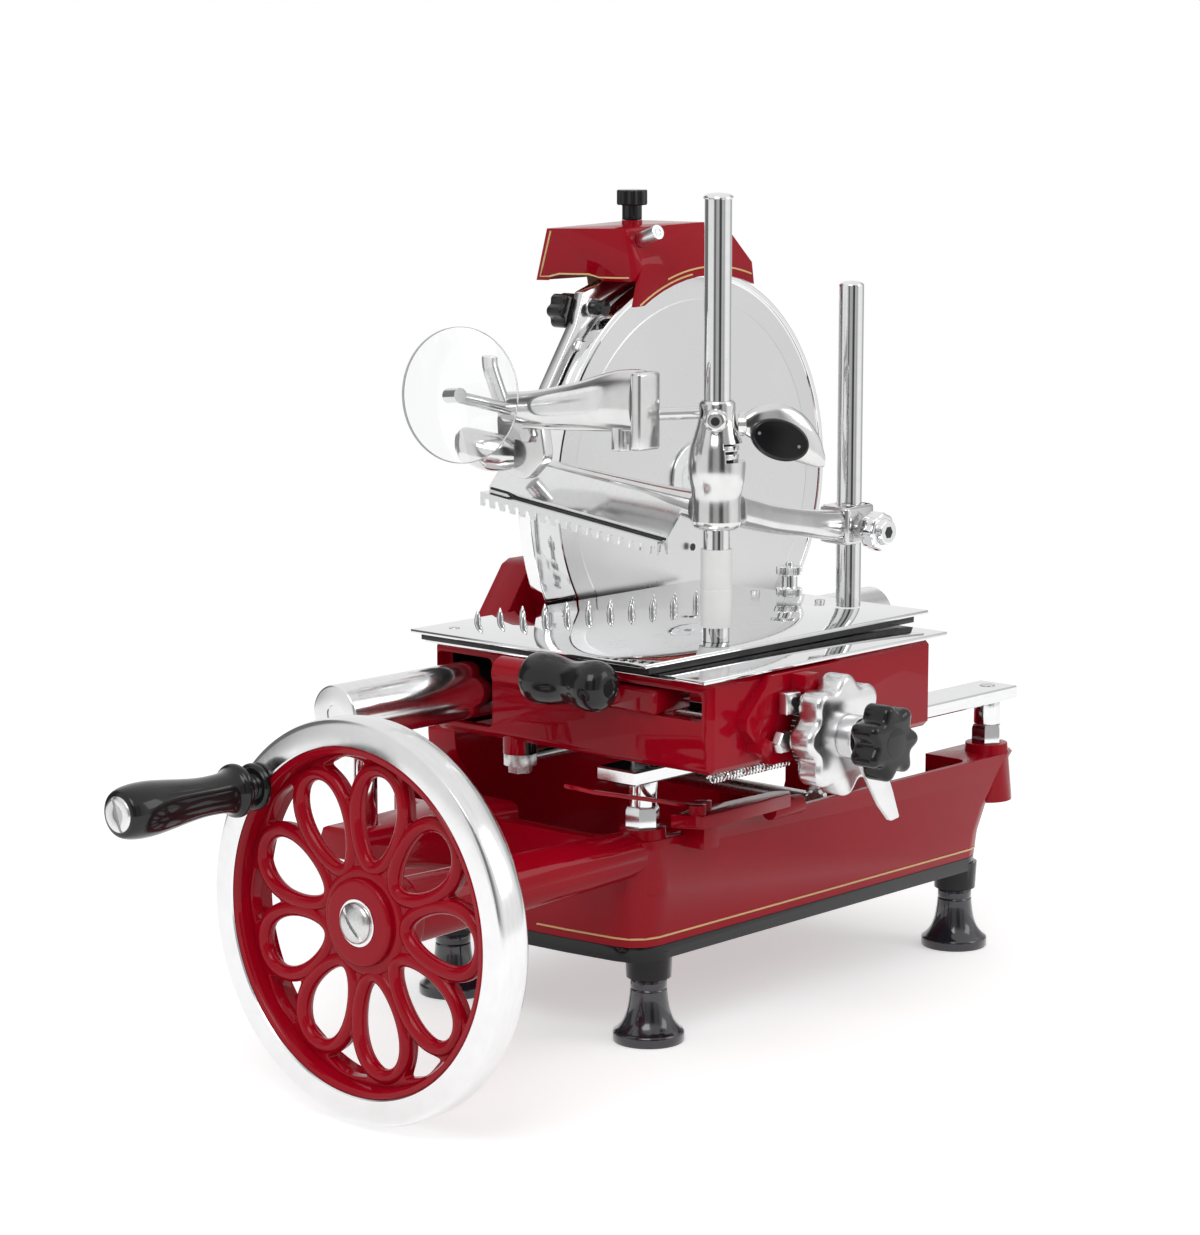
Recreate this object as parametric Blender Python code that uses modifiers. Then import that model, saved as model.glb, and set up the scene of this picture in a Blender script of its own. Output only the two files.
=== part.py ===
"""Hand crank meat slicer, built as separate solids in metres, +Z up.

The slicer is laid out around the blade: X runs along the carriage's travel, Y away from the operator,
and the blade's face turns in the plane Y = 0 above a floor at Z = 0. A root empty then moves the whole
slicer so that the middle of its footprint is the origin.
"""
import bpy
import bmesh
from math import acos, atan2, cos, pi, radians, sin, sqrt
from mathutils import Matrix, Vector

# Shared clearances
GAP = 0.0003
OVERRUN = 0.002
ROUND = 20
FINE_ROUND = 36
SMALL_ROUND = 12
MERGE = 0.00001

# Feet and base
FOOT_RADIUS = 0.0248
FOOT_NECK_RADIUS = 0.0127
FOOT_HEIGHT = 0.0450
FOOT_RIM_HEIGHT = 0.006
SOCKET_RADIUS = 0.0165
SOCKET_DEPTH = 0.0150
BASE_PLATE_THICKNESS = 0.0100
CASTING_HEIGHT = 0.0730
BASE_LEFT_X = -0.275
BASE_RIGHT_X = 0.122
BASE_NEAR_Y = -0.186
BASE_FAR_Y = 0.060
BASE_CORNER_RADIUS = 0.022
BASE_WALL = 0.008
BASE_NEAR_WALL = 0.0045
BASE_FLOOR = 0.007
BASE_LEFT_BULGE = 0.007
BASE_RIGHT_FLARE = 0.048
BASE_BOSS_HEIGHT = 0.0070
BASE_BOSS_RADIUS = 0.0200
SADDLE_LEFT_OVER = 0.015
LUG_HALF_WIDTH = 0.008
FOOT_INSET_X = 0.0294
FOOT_NEAR_Y = -0.170
FOOT_FAR_Y = 0.017
FOOT_RIGHT_INSET_X = 0.0163

BASE_PLATE_Z = FOOT_HEIGHT + SOCKET_DEPTH
CASTING_Z = BASE_PLATE_Z + BASE_PLATE_THICKNESS + GAP
CASTING_TOP = CASTING_Z + CASTING_HEIGHT
BOSS_TOP = CASTING_TOP + BASE_BOSS_HEIGHT
FOOT_LEFT_X = BASE_LEFT_X + FOOT_INSET_X
FOOT_RIGHT_X = BASE_RIGHT_X - FOOT_RIGHT_INSET_X

# Flat front bar and its standoffs
BAR_LEFT_X = -0.278
BAR_RIGHT_X = 0.161
BAR_NEAR_Y = -0.186
BAR_WIDTH = 0.035
BAR_THICKNESS = 0.010
STANDOFF_RADIUS = 0.0102
STANDOFF_NECK = 0.0190
NUT_FLATS = 0.0105
NUT_HEIGHT = 0.0140
STANDOFF_LEFT_X = -0.2505
STANDOFF_RIGHT_X = 0.1454
STANDOFF_STUD_RADIUS = 0.004
STANDOFF_STUD_DEPTH = 0.005

BAR_Y = BAR_NEAR_Y + BAR_WIDTH / 2
BAR_Z = BOSS_TOP + GAP + NUT_HEIGHT + STANDOFF_NECK + GAP
BAR_TOP = BAR_Z + BAR_THICKNESS

# Round rear rail and its posts
RAIL_LEFT_X = -0.412
RAIL_RIGHT_X = 0.173
RAIL_Y = -0.0366
RAIL_RADIUS = 0.0200
RAIL_Z = 0.2330
RAIL_POST_RADIUS = 0.0115
RAIL_POST_INSET = 0.024
RAIL_POST_SEAT_DEPTH = 0.006
HORN_HALF_WIDTH = 0.019
HORN_TIP_THICKNESS = 0.030
HORN_ROOT_THICKNESS = 0.062
HORN_TOP_Z = 0.1550
HORN_TIP_OVER = 0.012
HORN_ROOT_SINK = 0.010

RAIL_POST_LEFT_X = RAIL_LEFT_X + RAIL_POST_INSET
RAIL_POST_RIGHT_X = RAIL_RIGHT_X - RAIL_POST_INSET

# Flywheel and crank
WHEEL_FACE_X = -0.523
WHEEL_Y = -0.168
WHEEL_Z = 0.133
RIM_RADIUS = 0.129
RIM_BAND = 0.0175
RIM_DEPTH = 0.030
RIM_FACE_EDGE = 0.0035
RIM_BACK_ROUND = 0.013
SPIDER_DEPTH = 0.018
SPIDER_SET_BACK = 0.0035
SPIDER_WEB = 0.0090
PETAL_RIM = 0.0045
PETAL_RIM_DEPTH = 0.0130
SPIDER_HUB_RADIUS = 0.0295
SPIDER_HUB_DEPTH = 0.034
PETAL_COUNT = 9
PETAL_INNER_RADIUS = 0.0385
PETAL_MARGIN = 0.0160
PETAL_HALF_WIDTH = 0.0165
WINDOW_LENGTH = 0.0180
WINDOW_MARGIN = 0.0085
WINDOW_HALF_ANGLE = radians(6.5)
WHEEL_SCREW_RADIUS = 0.0133
WHEEL_SCREW_DOME = 0.006
WHEEL_SCREW_SHANK_RADIUS = 0.004
WHEEL_SCREW_SHANK = 0.012
AXLE_RADIUS = 0.0070
AXLE_RIGHT_X = -0.078
SNOUT_TIP_RADIUS = 0.0220
SNOUT_ROOT_RADIUS = 0.0160
SNOUT_ROOT_X = -0.262
SNOUT_TIP_GAP = 0.0006
BUSH_THICKNESS = 0.0035
BUSH_LENGTH = 0.040
CRANK_PIN_INSET = 0.0140
CRANK_PIN_ANGLE = radians(41.0)
CRANK_PIN_RADIUS = 0.0055
CRANK_COLLAR_RADIUS = 0.0090
CRANK_COLLAR_LENGTH = 0.0060
CRANK_NECK_LENGTH = 0.0030
GRIP_LENGTH = 0.095
GRIP_FLANGE_RADIUS = 0.0150
GRIP_FLANGE_LENGTH = 0.006
GRIP_WAIST_RADIUS = 0.0125
GRIP_SWELL_RADIUS = 0.0175
GRIP_END_RADIUS = 0.0120
GRIP_CAP_RADIUS = 0.0100
GRIP_CAP_LENGTH = 0.011
GRIP_CAP_SLOT = 0.0018

RIM_INNER_RADIUS = RIM_RADIUS - RIM_BAND
PETAL_OUTER_RADIUS = RIM_INNER_RADIUS - PETAL_MARGIN
WINDOW_OUTER_RADIUS = RIM_INNER_RADIUS - WINDOW_MARGIN
WINDOW_INNER_RADIUS = WINDOW_OUTER_RADIUS - WINDOW_LENGTH
CRANK_PIN_ORBIT = RIM_RADIUS - CRANK_PIN_INSET
SNOUT_TIP_X = WHEEL_FACE_X + SPIDER_SET_BACK + SPIDER_HUB_DEPTH + SNOUT_TIP_GAP
CRANK_Y = WHEEL_Y + CRANK_PIN_ORBIT * cos(CRANK_PIN_ANGLE)
CRANK_Z = WHEEL_Z + CRANK_PIN_ORBIT * sin(CRANK_PIN_ANGLE)

# Blade and its drive
BLADE_RADIUS = 0.150
BLADE_Z = 0.352
BLADE_THICKNESS = 0.0035
BLADE_EDGE_WIDTH = 0.016
BLADE_EDGE_THICKNESS = 0.0008
BLADE_HUB_RADIUS = 0.0270
BLADE_HUB_THICKNESS = 0.0025
BLADE_BOLT_FLATS = 0.0062
BLADE_BOLT_HEIGHT = 0.0045
BLADE_SHAFT_RADIUS = 0.0120
BLADE_SHAFT_FLANGE_RADIUS = 0.0550
BLADE_SHAFT_FLANGE = 0.0050
BLADE_SHAFT_FAR_Y = 0.0980
UPPER_SPROCKET_RADIUS = 0.0300
LOWER_SPROCKET_RADIUS = 0.0450
SPROCKET_THICKNESS = 0.0045
CHAIN_THICKNESS = 0.0065
CHAIN_WIDTH = 0.0070
CHAIN_PLAY = 0.0010
CROSS_SHAFT_X = -0.0450
CROSS_SHAFT_RADIUS = 0.0060
CROSS_SHAFT_NEAR_Y = -0.1460
BEVEL_RADIUS = 0.0130
BEVEL_SMALL_SHARE = 0.75
BEVEL_DEPTH = 0.0033
BEVEL_GAP = 0.0006
GUARD_WALL = 0.0044
GUARD_WIDENING = 0.0250
GUARD_WIDE_FROM = radians(148.0)
GUARD_WIDE_FULL = radians(172.0)
GUARD_ROOM = 0.0065
GUARD_CLEARANCE = 0.0016
GUARD_DEPTH = 0.0120
GUARD_FRONT_Y = 0.0003
GUARD_BACK_WALL = 0.0030
GUARD_OPEN_START = radians(-34.0)
GUARD_OPEN_END = radians(-150.0)
COLUMN_NEAR_Y = 0.0240
COLUMN_FAR_Y = 0.0580
COLUMN_HEAD_RADIUS = 0.0520
BEARING_RADIUS = 0.0200
CHAIN_Y = 0.0900
BAR_EDGE = 0.0012
RAIL_CHAMFER = 0.0015
PETAL_TAPER = 0.22
WINDOW_CROWN = 0.0030
SPIDER_HUB_TAPER_SHARE = 0.92
SLOT_DEPTH = 0.0012
SLOT_WIDTH = 0.0012
SLOT_TURN = radians(-40)
BEVEL_TEETH = 16
BEVEL_BACK = 0.0030
BEVEL_BACK_SHARE = 0.90
BEVEL_ROOT_SHARE = 0.88
COLUMN_LEFT_FOOT_X = -0.185
COLUMN_RIGHT_FOOT_X = 0.060
COLUMN_WAIST_RISE = 0.120
COLUMN_SHOULDER = ((-0.060, 0.302), (-0.150, 0.302, 0), (-0.1575, 0.2985, 0))
COLUMN_BELLY = ((-0.236, 0.192), (-0.234, 0.172), (-0.193, 0.123))
BEARING_PROUD = 0.0030
GUARD_SPACER_ORBIT = 0.0360
GUARD_SPACER_RADIUS = 0.0050
GUARD_HUB_RADIUS = 0.0440
GUARD_HUB_BORE = 0.0210
GUARD_SPOKE_WIDTH = 0.0160
GUARD_INNER_RADIUS = BLADE_RADIUS + GUARD_CLEARANCE
GUARD_RADIUS = GUARD_INNER_RADIUS + GUARD_WALL
GUARD_ROOM_RADIUS = GUARD_RADIUS + GUARD_ROOM
GUARD_SPOKE_ANGLES = (radians(20), radians(140), radians(260))


def collection(name):
    """Make a collection in the scene."""
    made = bpy.data.collections.new(name)
    bpy.context.scene.collection.children.link(made)
    return made


for _old in list(bpy.data.objects):
    bpy.data.objects.remove(_old)
PARTS = collection("hand_crank_meat_slicer")
CUTTERS = collection("cutters")


# Materials
def material(name, colour, roughness, metallic=0.0, alpha=1.0):
    """A plain Principled material with the part's colour, roughness and metallic value."""
    made = bpy.data.materials.new(name)
    made.use_nodes = True
    shader = made.node_tree.nodes["Principled BSDF"]
    shader.inputs["Base Color"].default_value = (*colour, 1.0)
    shader.inputs["Roughness"].default_value = roughness
    shader.inputs["Metallic"].default_value = metallic
    shader.inputs["Alpha"].default_value = alpha
    return made


RED = material("red_paint", (0.42, 0.004, 0.012), 0.15)
BLACK_PAINT = material("black_paint", (0.012, 0.012, 0.014), 0.25)
BLACK_PLASTIC = material("black_plastic", (0.015, 0.015, 0.017), 0.22)
RUBBER = material("black_rubber", (0.02, 0.02, 0.02), 0.55)
STEEL = material("polished_steel", (0.78, 0.78, 0.80), 0.12, 1.0)
BRUSHED = material("brushed_steel", (0.66, 0.66, 0.68), 0.32, 1.0)
CHROME = material("chrome", (0.86, 0.86, 0.88), 0.05, 1.0)
BRONZE = material("bronze", (0.50, 0.33, 0.14), 0.35, 1.0)
NYLON = material("white_nylon", (0.86, 0.86, 0.84), 0.45)
STONE = material("grinding_stone", (0.24, 0.15, 0.10), 0.9)
CLEAR = material("clear_plastic", (0.95, 0.96, 0.97), 0.05, 0.0, 0.25)


# Placing pieces on bodies
BODIES = {}


def body(name, axis_point, parent=None):
    """An empty on a joint's axis, which carries the pieces of one moving body."""
    empty = bpy.data.objects.new("axis_" + name, None)
    PARTS.objects.link(empty)
    empty["at"] = list(axis_point)
    if parent is not None:
        empty.parent = BODIES[parent]
        empty.location = Vector(axis_point) - Vector(BODIES[parent]["at"])
    BODIES[name] = empty
    return empty


def put(obj, on, at=(0, 0, 0)):
    """Parent an object to a body's empty, with its own origin at a point of the slicer's layout."""
    obj.parent = BODIES[on]
    obj.location = Vector(at) - Vector(BODIES[on]["at"])
    return obj


def finish(obj, name, paint, smooth=40):
    """Name a piece, colour it and shade its round faces smooth."""
    obj.name = name
    obj.data.name = name
    obj.data.materials.clear()
    obj.data.materials.append(paint)
    obj.data.shade_smooth()
    obj.data.set_sharp_from_angle(angle=radians(smooth))
    if obj.name not in PARTS.objects:
        PARTS.objects.link(obj)
    return obj


def as_cutter(obj):
    """Hide a shape that only cuts or joins."""
    obj.hide_render = True
    obj.display_type = "WIRE"
    if obj.name not in CUTTERS.objects:
        CUTTERS.objects.link(obj)
    return obj


def combine(obj, tool, operation):
    """Join or cut with an exact Boolean, left on the object."""
    as_cutter(tool)
    step = obj.modifiers.new(operation.lower(), "BOOLEAN")
    step.operation = operation
    step.solver = "EXACT"
    step.object = tool
    return obj


def cut(obj, tool):
    return combine(obj, tool, "DIFFERENCE")


def join(obj, tool):
    return combine(obj, tool, "UNION")


# Shapes
def from_bmesh(name, shape):
    mesh = bpy.data.meshes.new(name)
    shape.to_mesh(mesh)
    shape.free()
    return bpy.data.objects.new(name, mesh)


def along(direction):
    """The rotation that turns +Z to a direction."""
    return Vector(direction).to_track_quat("Z", "Y").to_matrix().to_4x4()


def block(name, low, high, on, bevel=0.0, segments=2):
    """A box between two corners of the layout, with its origin in its middle."""
    low = Vector(low)
    high = Vector(high)
    shape = bmesh.new()
    bmesh.ops.create_cube(shape, size=1.0)
    bmesh.ops.scale(shape, vec=high - low, verts=shape.verts)
    obj = from_bmesh(name, shape)
    if bevel:
        edge = obj.modifiers.new("bevel", "BEVEL")
        edge.width = bevel
        edge.segments = segments
    return put(obj, on, (low + high) / 2)


def rod(name, start, end, radius, on, end_radius=None, sides=ROUND, turn=0.0):
    """A cylinder or cone between two points."""
    start = Vector(start)
    end = Vector(end)
    shape = bmesh.new()
    bmesh.ops.create_cone(shape, cap_ends=True, segments=sides, radius1=radius,
                          radius2=radius if end_radius is None else end_radius, depth=(end - start).length)
    bmesh.ops.rotate(shape, cent=(0, 0, 0), matrix=Matrix.Rotation(turn, 3, "Z"), verts=shape.verts)
    obj = from_bmesh(name, shape)
    obj.data.transform(along(end - start))
    return put(obj, on, (start + end) / 2)


def hexagon(name, start, end, flats, on, turn=0.0):
    """A hexagon bar with a given half width over its flats."""
    return rod(name, start, end, flats / cos(pi / 6), on, sides=6, turn=turn)


def turned(name, profile, at, direction, on, steps=ROUND):
    """A turned shape. The profile lists (radius, height) down its outer side, and closes on the axis or on
    itself."""
    shape = bmesh.new()
    points = [shape.verts.new((radius, 0, height)) for radius, height in profile]
    for first, second in zip(points, points[1:]):
        shape.edges.new((first, second))
    if profile[0][0] > 0:
        shape.edges.new((points[-1], points[0]))
    obj = from_bmesh(name, shape)
    screw = obj.modifiers.new("screw", "SCREW")
    screw.angle = 2 * pi
    screw.steps = steps
    screw.render_steps = steps
    screw.use_merge_vertices = True
    screw.merge_threshold = MERGE
    obj.rotation_mode = "QUATERNION"
    obj.rotation_quaternion = Vector(direction).to_track_quat("Z", "Y")
    return put(obj, on, at)


def arc(centre, radius, start, end, steps):
    """Points on an arc, both ends counted."""
    return [(centre[0] + radius * cos(start + (end - start) * i / steps),
             centre[1] + radius * sin(start + (end - start) * i / steps)) for i in range(steps + 1)]


def softened(corners, radius, steps=3):
    """A closed outline whose corners become arcs of a radius, or of the corner's own (x, y, radius)."""
    points = []
    count = len(corners)
    for i, corner in enumerate(corners):
        own = corner[2] if len(corner) > 2 else radius
        here = Vector(corner[:2])
        back = Vector(corners[i - 1][:2]) - here
        ahead = Vector(corners[(i + 1) % count][:2]) - here
        opening = back.angle(ahead)
        if own <= 0 or opening > radians(178):
            points.append(tuple(here))
            continue
        reach = min(own / (sin(opening / 2) / cos(opening / 2)), back.length * 0.49, ahead.length * 0.49)
        size = reach * sin(opening / 2) / cos(opening / 2)
        centre = here + (back.normalized() + ahead.normalized()).normalized() * sqrt(reach ** 2 + size ** 2)
        first = here + back.normalized() * reach - centre
        last = here + ahead.normalized() * reach - centre
        sweep = first.angle_signed(last)
        begin = atan2(first.y, first.x)
        for k in range(steps + 1):
            angle = begin - sweep * k / steps
            points.append((centre.x + size * cos(angle), centre.y + size * sin(angle)))
    return points


PLANES = {
    "X": Matrix(((0, 0, 1, 0), (1, 0, 0, 0), (0, 1, 0, 0), (0, 0, 0, 1))),
    "Y": Matrix(((1, 0, 0, 0), (0, 0, -1, 0), (0, 1, 0, 0), (0, 0, 0, 1))),
    "Z": Matrix.Identity(4),
}


def plate(name, outlines, axis, low, high, on, at=(0, 0, 0), bead=0.0):
    """A flat outline with its holes, extruded along an axis between two heights.

    For axis X the outline's points are (y, z), for Y they are (x, z) and for Z (x, y).
    """
    flat = bpy.data.curves.new(name, "CURVE")
    flat.dimensions = "2D"
    flat.fill_mode = "BOTH"
    flat.extrude = abs(high - low) / 2 - bead
    flat.bevel_depth = bead
    flat.bevel_resolution = 0
    flat.offset = -bead
    for outline in outlines:
        spline = flat.splines.new("POLY")
        spline.points.add(len(outline) - 1)
        for point, (first, second) in zip(spline.points, outline):
            point.co = (first, second, 0, 1)
        spline.use_cyclic_u = True
    guide = bpy.data.objects.new(name, flat)
    CUTTERS.objects.link(guide)
    mesh = bpy.data.meshes.new_from_object(guide.evaluated_get(bpy.context.evaluated_depsgraph_get()))
    bpy.data.objects.remove(guide)
    shape = bmesh.new()
    shape.from_mesh(mesh)
    bmesh.ops.remove_doubles(shape, verts=shape.verts, dist=MERGE)
    bmesh.ops.recalc_face_normals(shape, faces=shape.faces)
    shape.to_mesh(mesh)
    shape.free()
    middle = (low + high) / 2
    mesh.transform(PLANES[axis])
    shift = {"X": (middle, 0, 0), "Y": (0, middle, 0), "Z": (0, 0, middle)}[axis]
    mesh.transform(Matrix.Translation(shift))
    mesh.transform(Matrix.Translation(-Vector(at)))
    return put(bpy.data.objects.new(name, mesh), on, at)


def loft(name, rings, on, at=(0, 0, 0)):
    """A closed body through rings of points, each ring with as many points, capped at both ends."""
    shape = bmesh.new()
    rows = [[shape.verts.new(Vector(point) - Vector(at)) for point in ring] for ring in rings]
    for lower, upper in zip(rows, rows[1:]):
        for i in range(len(lower)):
            j = (i + 1) % len(lower)
            shape.faces.new((lower[i], lower[j], upper[j], upper[i]))
    shape.faces.new(rows[0])
    shape.faces.new(rows[-1])
    bmesh.ops.recalc_face_normals(shape, faces=shape.faces)
    return put(from_bmesh(name, shape), on, at)


def wire(name, points, radius, on, resolution=2, cyclic=False):
    """A round wire or tube along points."""
    path = bpy.data.curves.new(name, "CURVE")
    path.dimensions = "3D"
    path.bevel_depth = radius
    path.bevel_resolution = resolution
    path.use_fill_caps = not cyclic
    spline = path.splines.new("POLY")
    spline.points.add(len(points) - 1)
    for target, point in zip(spline.points, points):
        target.co = (*point, 1)
    spline.use_cyclic_u = cyclic
    guide = bpy.data.objects.new(name, path)
    CUTTERS.objects.link(guide)
    mesh = bpy.data.meshes.new_from_object(guide.evaluated_get(bpy.context.evaluated_depsgraph_get()))
    bpy.data.objects.remove(guide)
    shape = bmesh.new()
    shape.from_mesh(mesh)
    bmesh.ops.remove_doubles(shape, verts=shape.verts, dist=MERGE)
    bmesh.ops.recalc_face_normals(shape, faces=shape.faces)
    shape.to_mesh(mesh)
    shape.free()
    return put(bpy.data.objects.new(name, mesh), on)


# Feet and base
def rounded_box(left, right, near, far, radius, steps=3):
    """A plan outline with round corners and a left side that bulges a little."""
    points = arc((right - radius, far - radius), radius, 0, pi / 2, steps)
    points += arc((left + radius, far - radius), radius, pi / 2, pi, steps)
    middle = (near + far) / 2
    half = (far - near) / 2 - radius
    for i in range(1, 5):
        y = far - radius - (far - near - 2 * radius) * i / 5
        points.append((left - BASE_LEFT_BULGE * (1 - ((y - middle) / half) ** 2), y))
    points += arc((left + radius, near + radius), radius, pi, 3 * pi / 2, steps)
    points += arc((right - radius, near + radius), radius, 3 * pi / 2, 2 * pi, steps)
    return points


def make_feet():
    spots = {"near_left": (FOOT_LEFT_X, FOOT_NEAR_Y), "near_right": (FOOT_RIGHT_X, FOOT_NEAR_Y),
             "far_left": (FOOT_LEFT_X, FOOT_FAR_Y), "far_right": (FOOT_RIGHT_X, FOOT_FAR_Y)}
    top = FOOT_HEIGHT - GAP
    waist = FOOT_NECK_RADIUS * 1.06
    profile = [(0, top), (FOOT_NECK_RADIUS, top), (FOOT_NECK_RADIUS, top * 0.84), (waist * 0.95, top * 0.82),
               (waist, top * 0.66), (waist * 1.18, top * 0.42), (waist * 1.46, top * 0.27),
               (FOOT_RADIUS, FOOT_RIM_HEIGHT), (FOOT_RADIUS, 0), (0, 0)]
    for name, (x, y) in spots.items():
        foot = turned("foot", profile, (x, y, 0), (0, 0, 1), "frame", ROUND)
        finish(foot, "foot_" + name, RUBBER)
    return spots


def make_base_plate(spots):
    outline = rounded_box(BASE_LEFT_X, BASE_RIGHT_X, BASE_NEAR_Y, BASE_FAR_Y, BASE_CORNER_RADIUS)
    opening_inset = BASE_WALL * 5
    opening = softened([(BASE_LEFT_X + opening_inset, BASE_NEAR_Y + opening_inset),
                        (BASE_RIGHT_X - opening_inset, BASE_NEAR_Y + opening_inset),
                        (BASE_RIGHT_X - opening_inset, BASE_FAR_Y - opening_inset),
                        (BASE_LEFT_X + opening_inset, BASE_FAR_Y - opening_inset)], BASE_CORNER_RADIUS)
    band = plate("base_plate", [outline, opening], "Z", BASE_PLATE_Z, BASE_PLATE_Z + BASE_PLATE_THICKNESS, "frame")
    for name, (x, y) in spots.items():
        socket = rod("socket_" + name, (x, y, FOOT_HEIGHT), (x, y, BASE_PLATE_Z + BASE_PLATE_THICKNESS / 2),
                     SOCKET_RADIUS * 0.94, "frame", SOCKET_RADIUS)
        join(band, socket)
    finish(band, "base_plate", BLACK_PAINT)


def horn(name, root_x, tip_x, y):
    """A tapering arm from the base's end to a rail post, lofted through rounded sections."""
    rings = []
    steps = 5
    for i in range(steps + 1):
        share = i / steps
        x = root_x + (tip_x - root_x) * share
        low_share = (1 - share) ** 2
        bottom = HORN_TOP_Z - HORN_TIP_THICKNESS - (HORN_ROOT_THICKNESS - HORN_TIP_THICKNESS) * low_share
        half = HORN_HALF_WIDTH * (1 + 0.7 * low_share)
        if i == steps:
            bottom += HORN_TIP_THICKNESS * 0.3
        section = softened([(y - half, bottom), (y + half, bottom), (y + half, HORN_TOP_Z), (y - half, HORN_TOP_Z)],
                           HORN_HALF_WIDTH * 0.35, 2)
        rings.append([(x, first, second) for first, second in section])
    return loft(name, rings, "frame")


def make_base():
    levels = 4
    rings = []
    for i in range(levels + 1):
        share = i / levels
        z = CASTING_Z + CASTING_HEIGHT * share
        right = BASE_RIGHT_X + BASE_RIGHT_FLARE * share ** 1.8
        outline = rounded_box(BASE_LEFT_X, right, BASE_NEAR_Y, BASE_FAR_Y, BASE_CORNER_RADIUS)
        rings.append([(x, y, z) for x, y in outline])
    base = loft("base_casting", rings, "frame")
    join(base, horn("horn_left", BASE_LEFT_X + HORN_ROOT_SINK, RAIL_POST_LEFT_X - HORN_HALF_WIDTH, RAIL_Y))
    join(base, horn("horn_right", BASE_RIGHT_X - HORN_ROOT_SINK, RAIL_POST_RIGHT_X + HORN_HALF_WIDTH, RAIL_Y))
    for side, x in (("left", STANDOFF_LEFT_X), ("right", STANDOFF_RIGHT_X)):
        join(base, rod("boss_" + side, (x, BAR_Y, CASTING_Z + CASTING_HEIGHT / 2), (x, BAR_Y, BOSS_TOP),
                       BASE_BOSS_RADIUS, "frame", BASE_BOSS_RADIUS * 0.8))
    join(base, rod("snout", (SNOUT_ROOT_X, WHEEL_Y, WHEEL_Z), (SNOUT_TIP_X, WHEEL_Y, WHEEL_Z), SNOUT_ROOT_RADIUS,
                   "frame", SNOUT_TIP_RADIUS))

    join(base, block("rocker_lug", (ROCKER_PIVOT[0] - LUG_HALF_WIDTH, ROCKER_PIVOT[1] - LUG_HALF_WIDTH, CASTING_TOP - LUG_HALF_WIDTH),
                     (ROCKER_PIVOT[0] + LUG_HALF_WIDTH, BASE_NEAR_Y + OVERRUN, ROCKER_Z[0] - GAP), "frame"))
    floor = CASTING_Z + BASE_FLOOR
    inner = softened([(BASE_LEFT_X + BASE_WALL, BAR_Y + BASE_BOSS_RADIUS),
                      (STANDOFF_LEFT_X + BASE_BOSS_RADIUS, BAR_Y + BASE_BOSS_RADIUS),
                      (STANDOFF_LEFT_X + BASE_BOSS_RADIUS, BASE_NEAR_Y + BASE_NEAR_WALL),
                      (BASE_RIGHT_X - BASE_WALL * 2, BASE_NEAR_Y + BASE_NEAR_WALL),
                      (BASE_RIGHT_X - BASE_WALL * 2, BASE_FAR_Y - BASE_WALL),
                      (BASE_LEFT_X + BASE_WALL, BASE_FAR_Y - BASE_WALL)], BASE_CORNER_RADIUS / 2)
    cut(base, plate("cavity", [inner], "Z", floor, CASTING_TOP + OVERRUN * 10, "frame"))
    near_edge = BAR_Y + BASE_BOSS_RADIUS * 1.4
    horn_near = RAIL_Y - HORN_HALF_WIDTH * 1.7
    horn_far = RAIL_Y + HORN_HALF_WIDTH * 1.7
    low = floor + SADDLE_LEFT_OVER
    tall = HORN_TOP_Z + OVERRUN
    for name, first, second in (("saddle_near", near_edge, horn_near), ("saddle_far", horn_far, BASE_FAR_Y + OVERRUN)):
        shape = softened([(first, low), (second, low), (second, tall), (first, tall)], BASE_CORNER_RADIUS / 2)
        cut(base, plate(name, [shape], "X", BASE_RIGHT_X - BASE_WALL * 2 - OVERRUN,
                        BASE_RIGHT_X + BASE_RIGHT_FLARE + OVERRUN, "frame"))
    cut(base, rod("axle_hole", (SNOUT_TIP_X - OVERRUN, WHEEL_Y, WHEEL_Z), (SNOUT_ROOT_X + BASE_BOSS_RADIUS * 3, WHEEL_Y, WHEEL_Z),
                  AXLE_RADIUS + GAP, "frame"))
    cut(base, rod("bush_seat", (SNOUT_TIP_X - OVERRUN, WHEEL_Y, WHEEL_Z), (SNOUT_TIP_X + BUSH_LENGTH, WHEEL_Y, WHEEL_Z),
                  AXLE_RADIUS + BUSH_THICKNESS + GAP, "frame"))
    cut(base, rod("cross_hole", (CROSS_SHAFT_X, BASE_FAR_Y - BASE_WALL * 2, WHEEL_Z), (CROSS_SHAFT_X, BASE_FAR_Y + OVERRUN, WHEEL_Z),
                  CROSS_SHAFT_RADIUS + GAP, "frame"))
    for side, x in (("left", STANDOFF_LEFT_X), ("right", STANDOFF_RIGHT_X)):
        cut(base, rod("stud_hole_" + side, (x, BAR_Y, BOSS_TOP - STANDOFF_STUD_DEPTH - GAP), (x, BAR_Y, BOSS_TOP + OVERRUN),
                      STANDOFF_STUD_RADIUS + GAP, "frame", sides=SMALL_ROUND))
    for side, x in (("left", RAIL_POST_LEFT_X), ("right", RAIL_POST_RIGHT_X)):
        cut(base, rod("post_seat_" + side, (x, RAIL_Y, HORN_TOP_Z - RAIL_POST_SEAT_DEPTH), (x, RAIL_Y, HORN_TOP_Z + OVERRUN),
                      RAIL_POST_RADIUS + GAP, "frame"))
    finish(base, "base_casting", RED)


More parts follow.
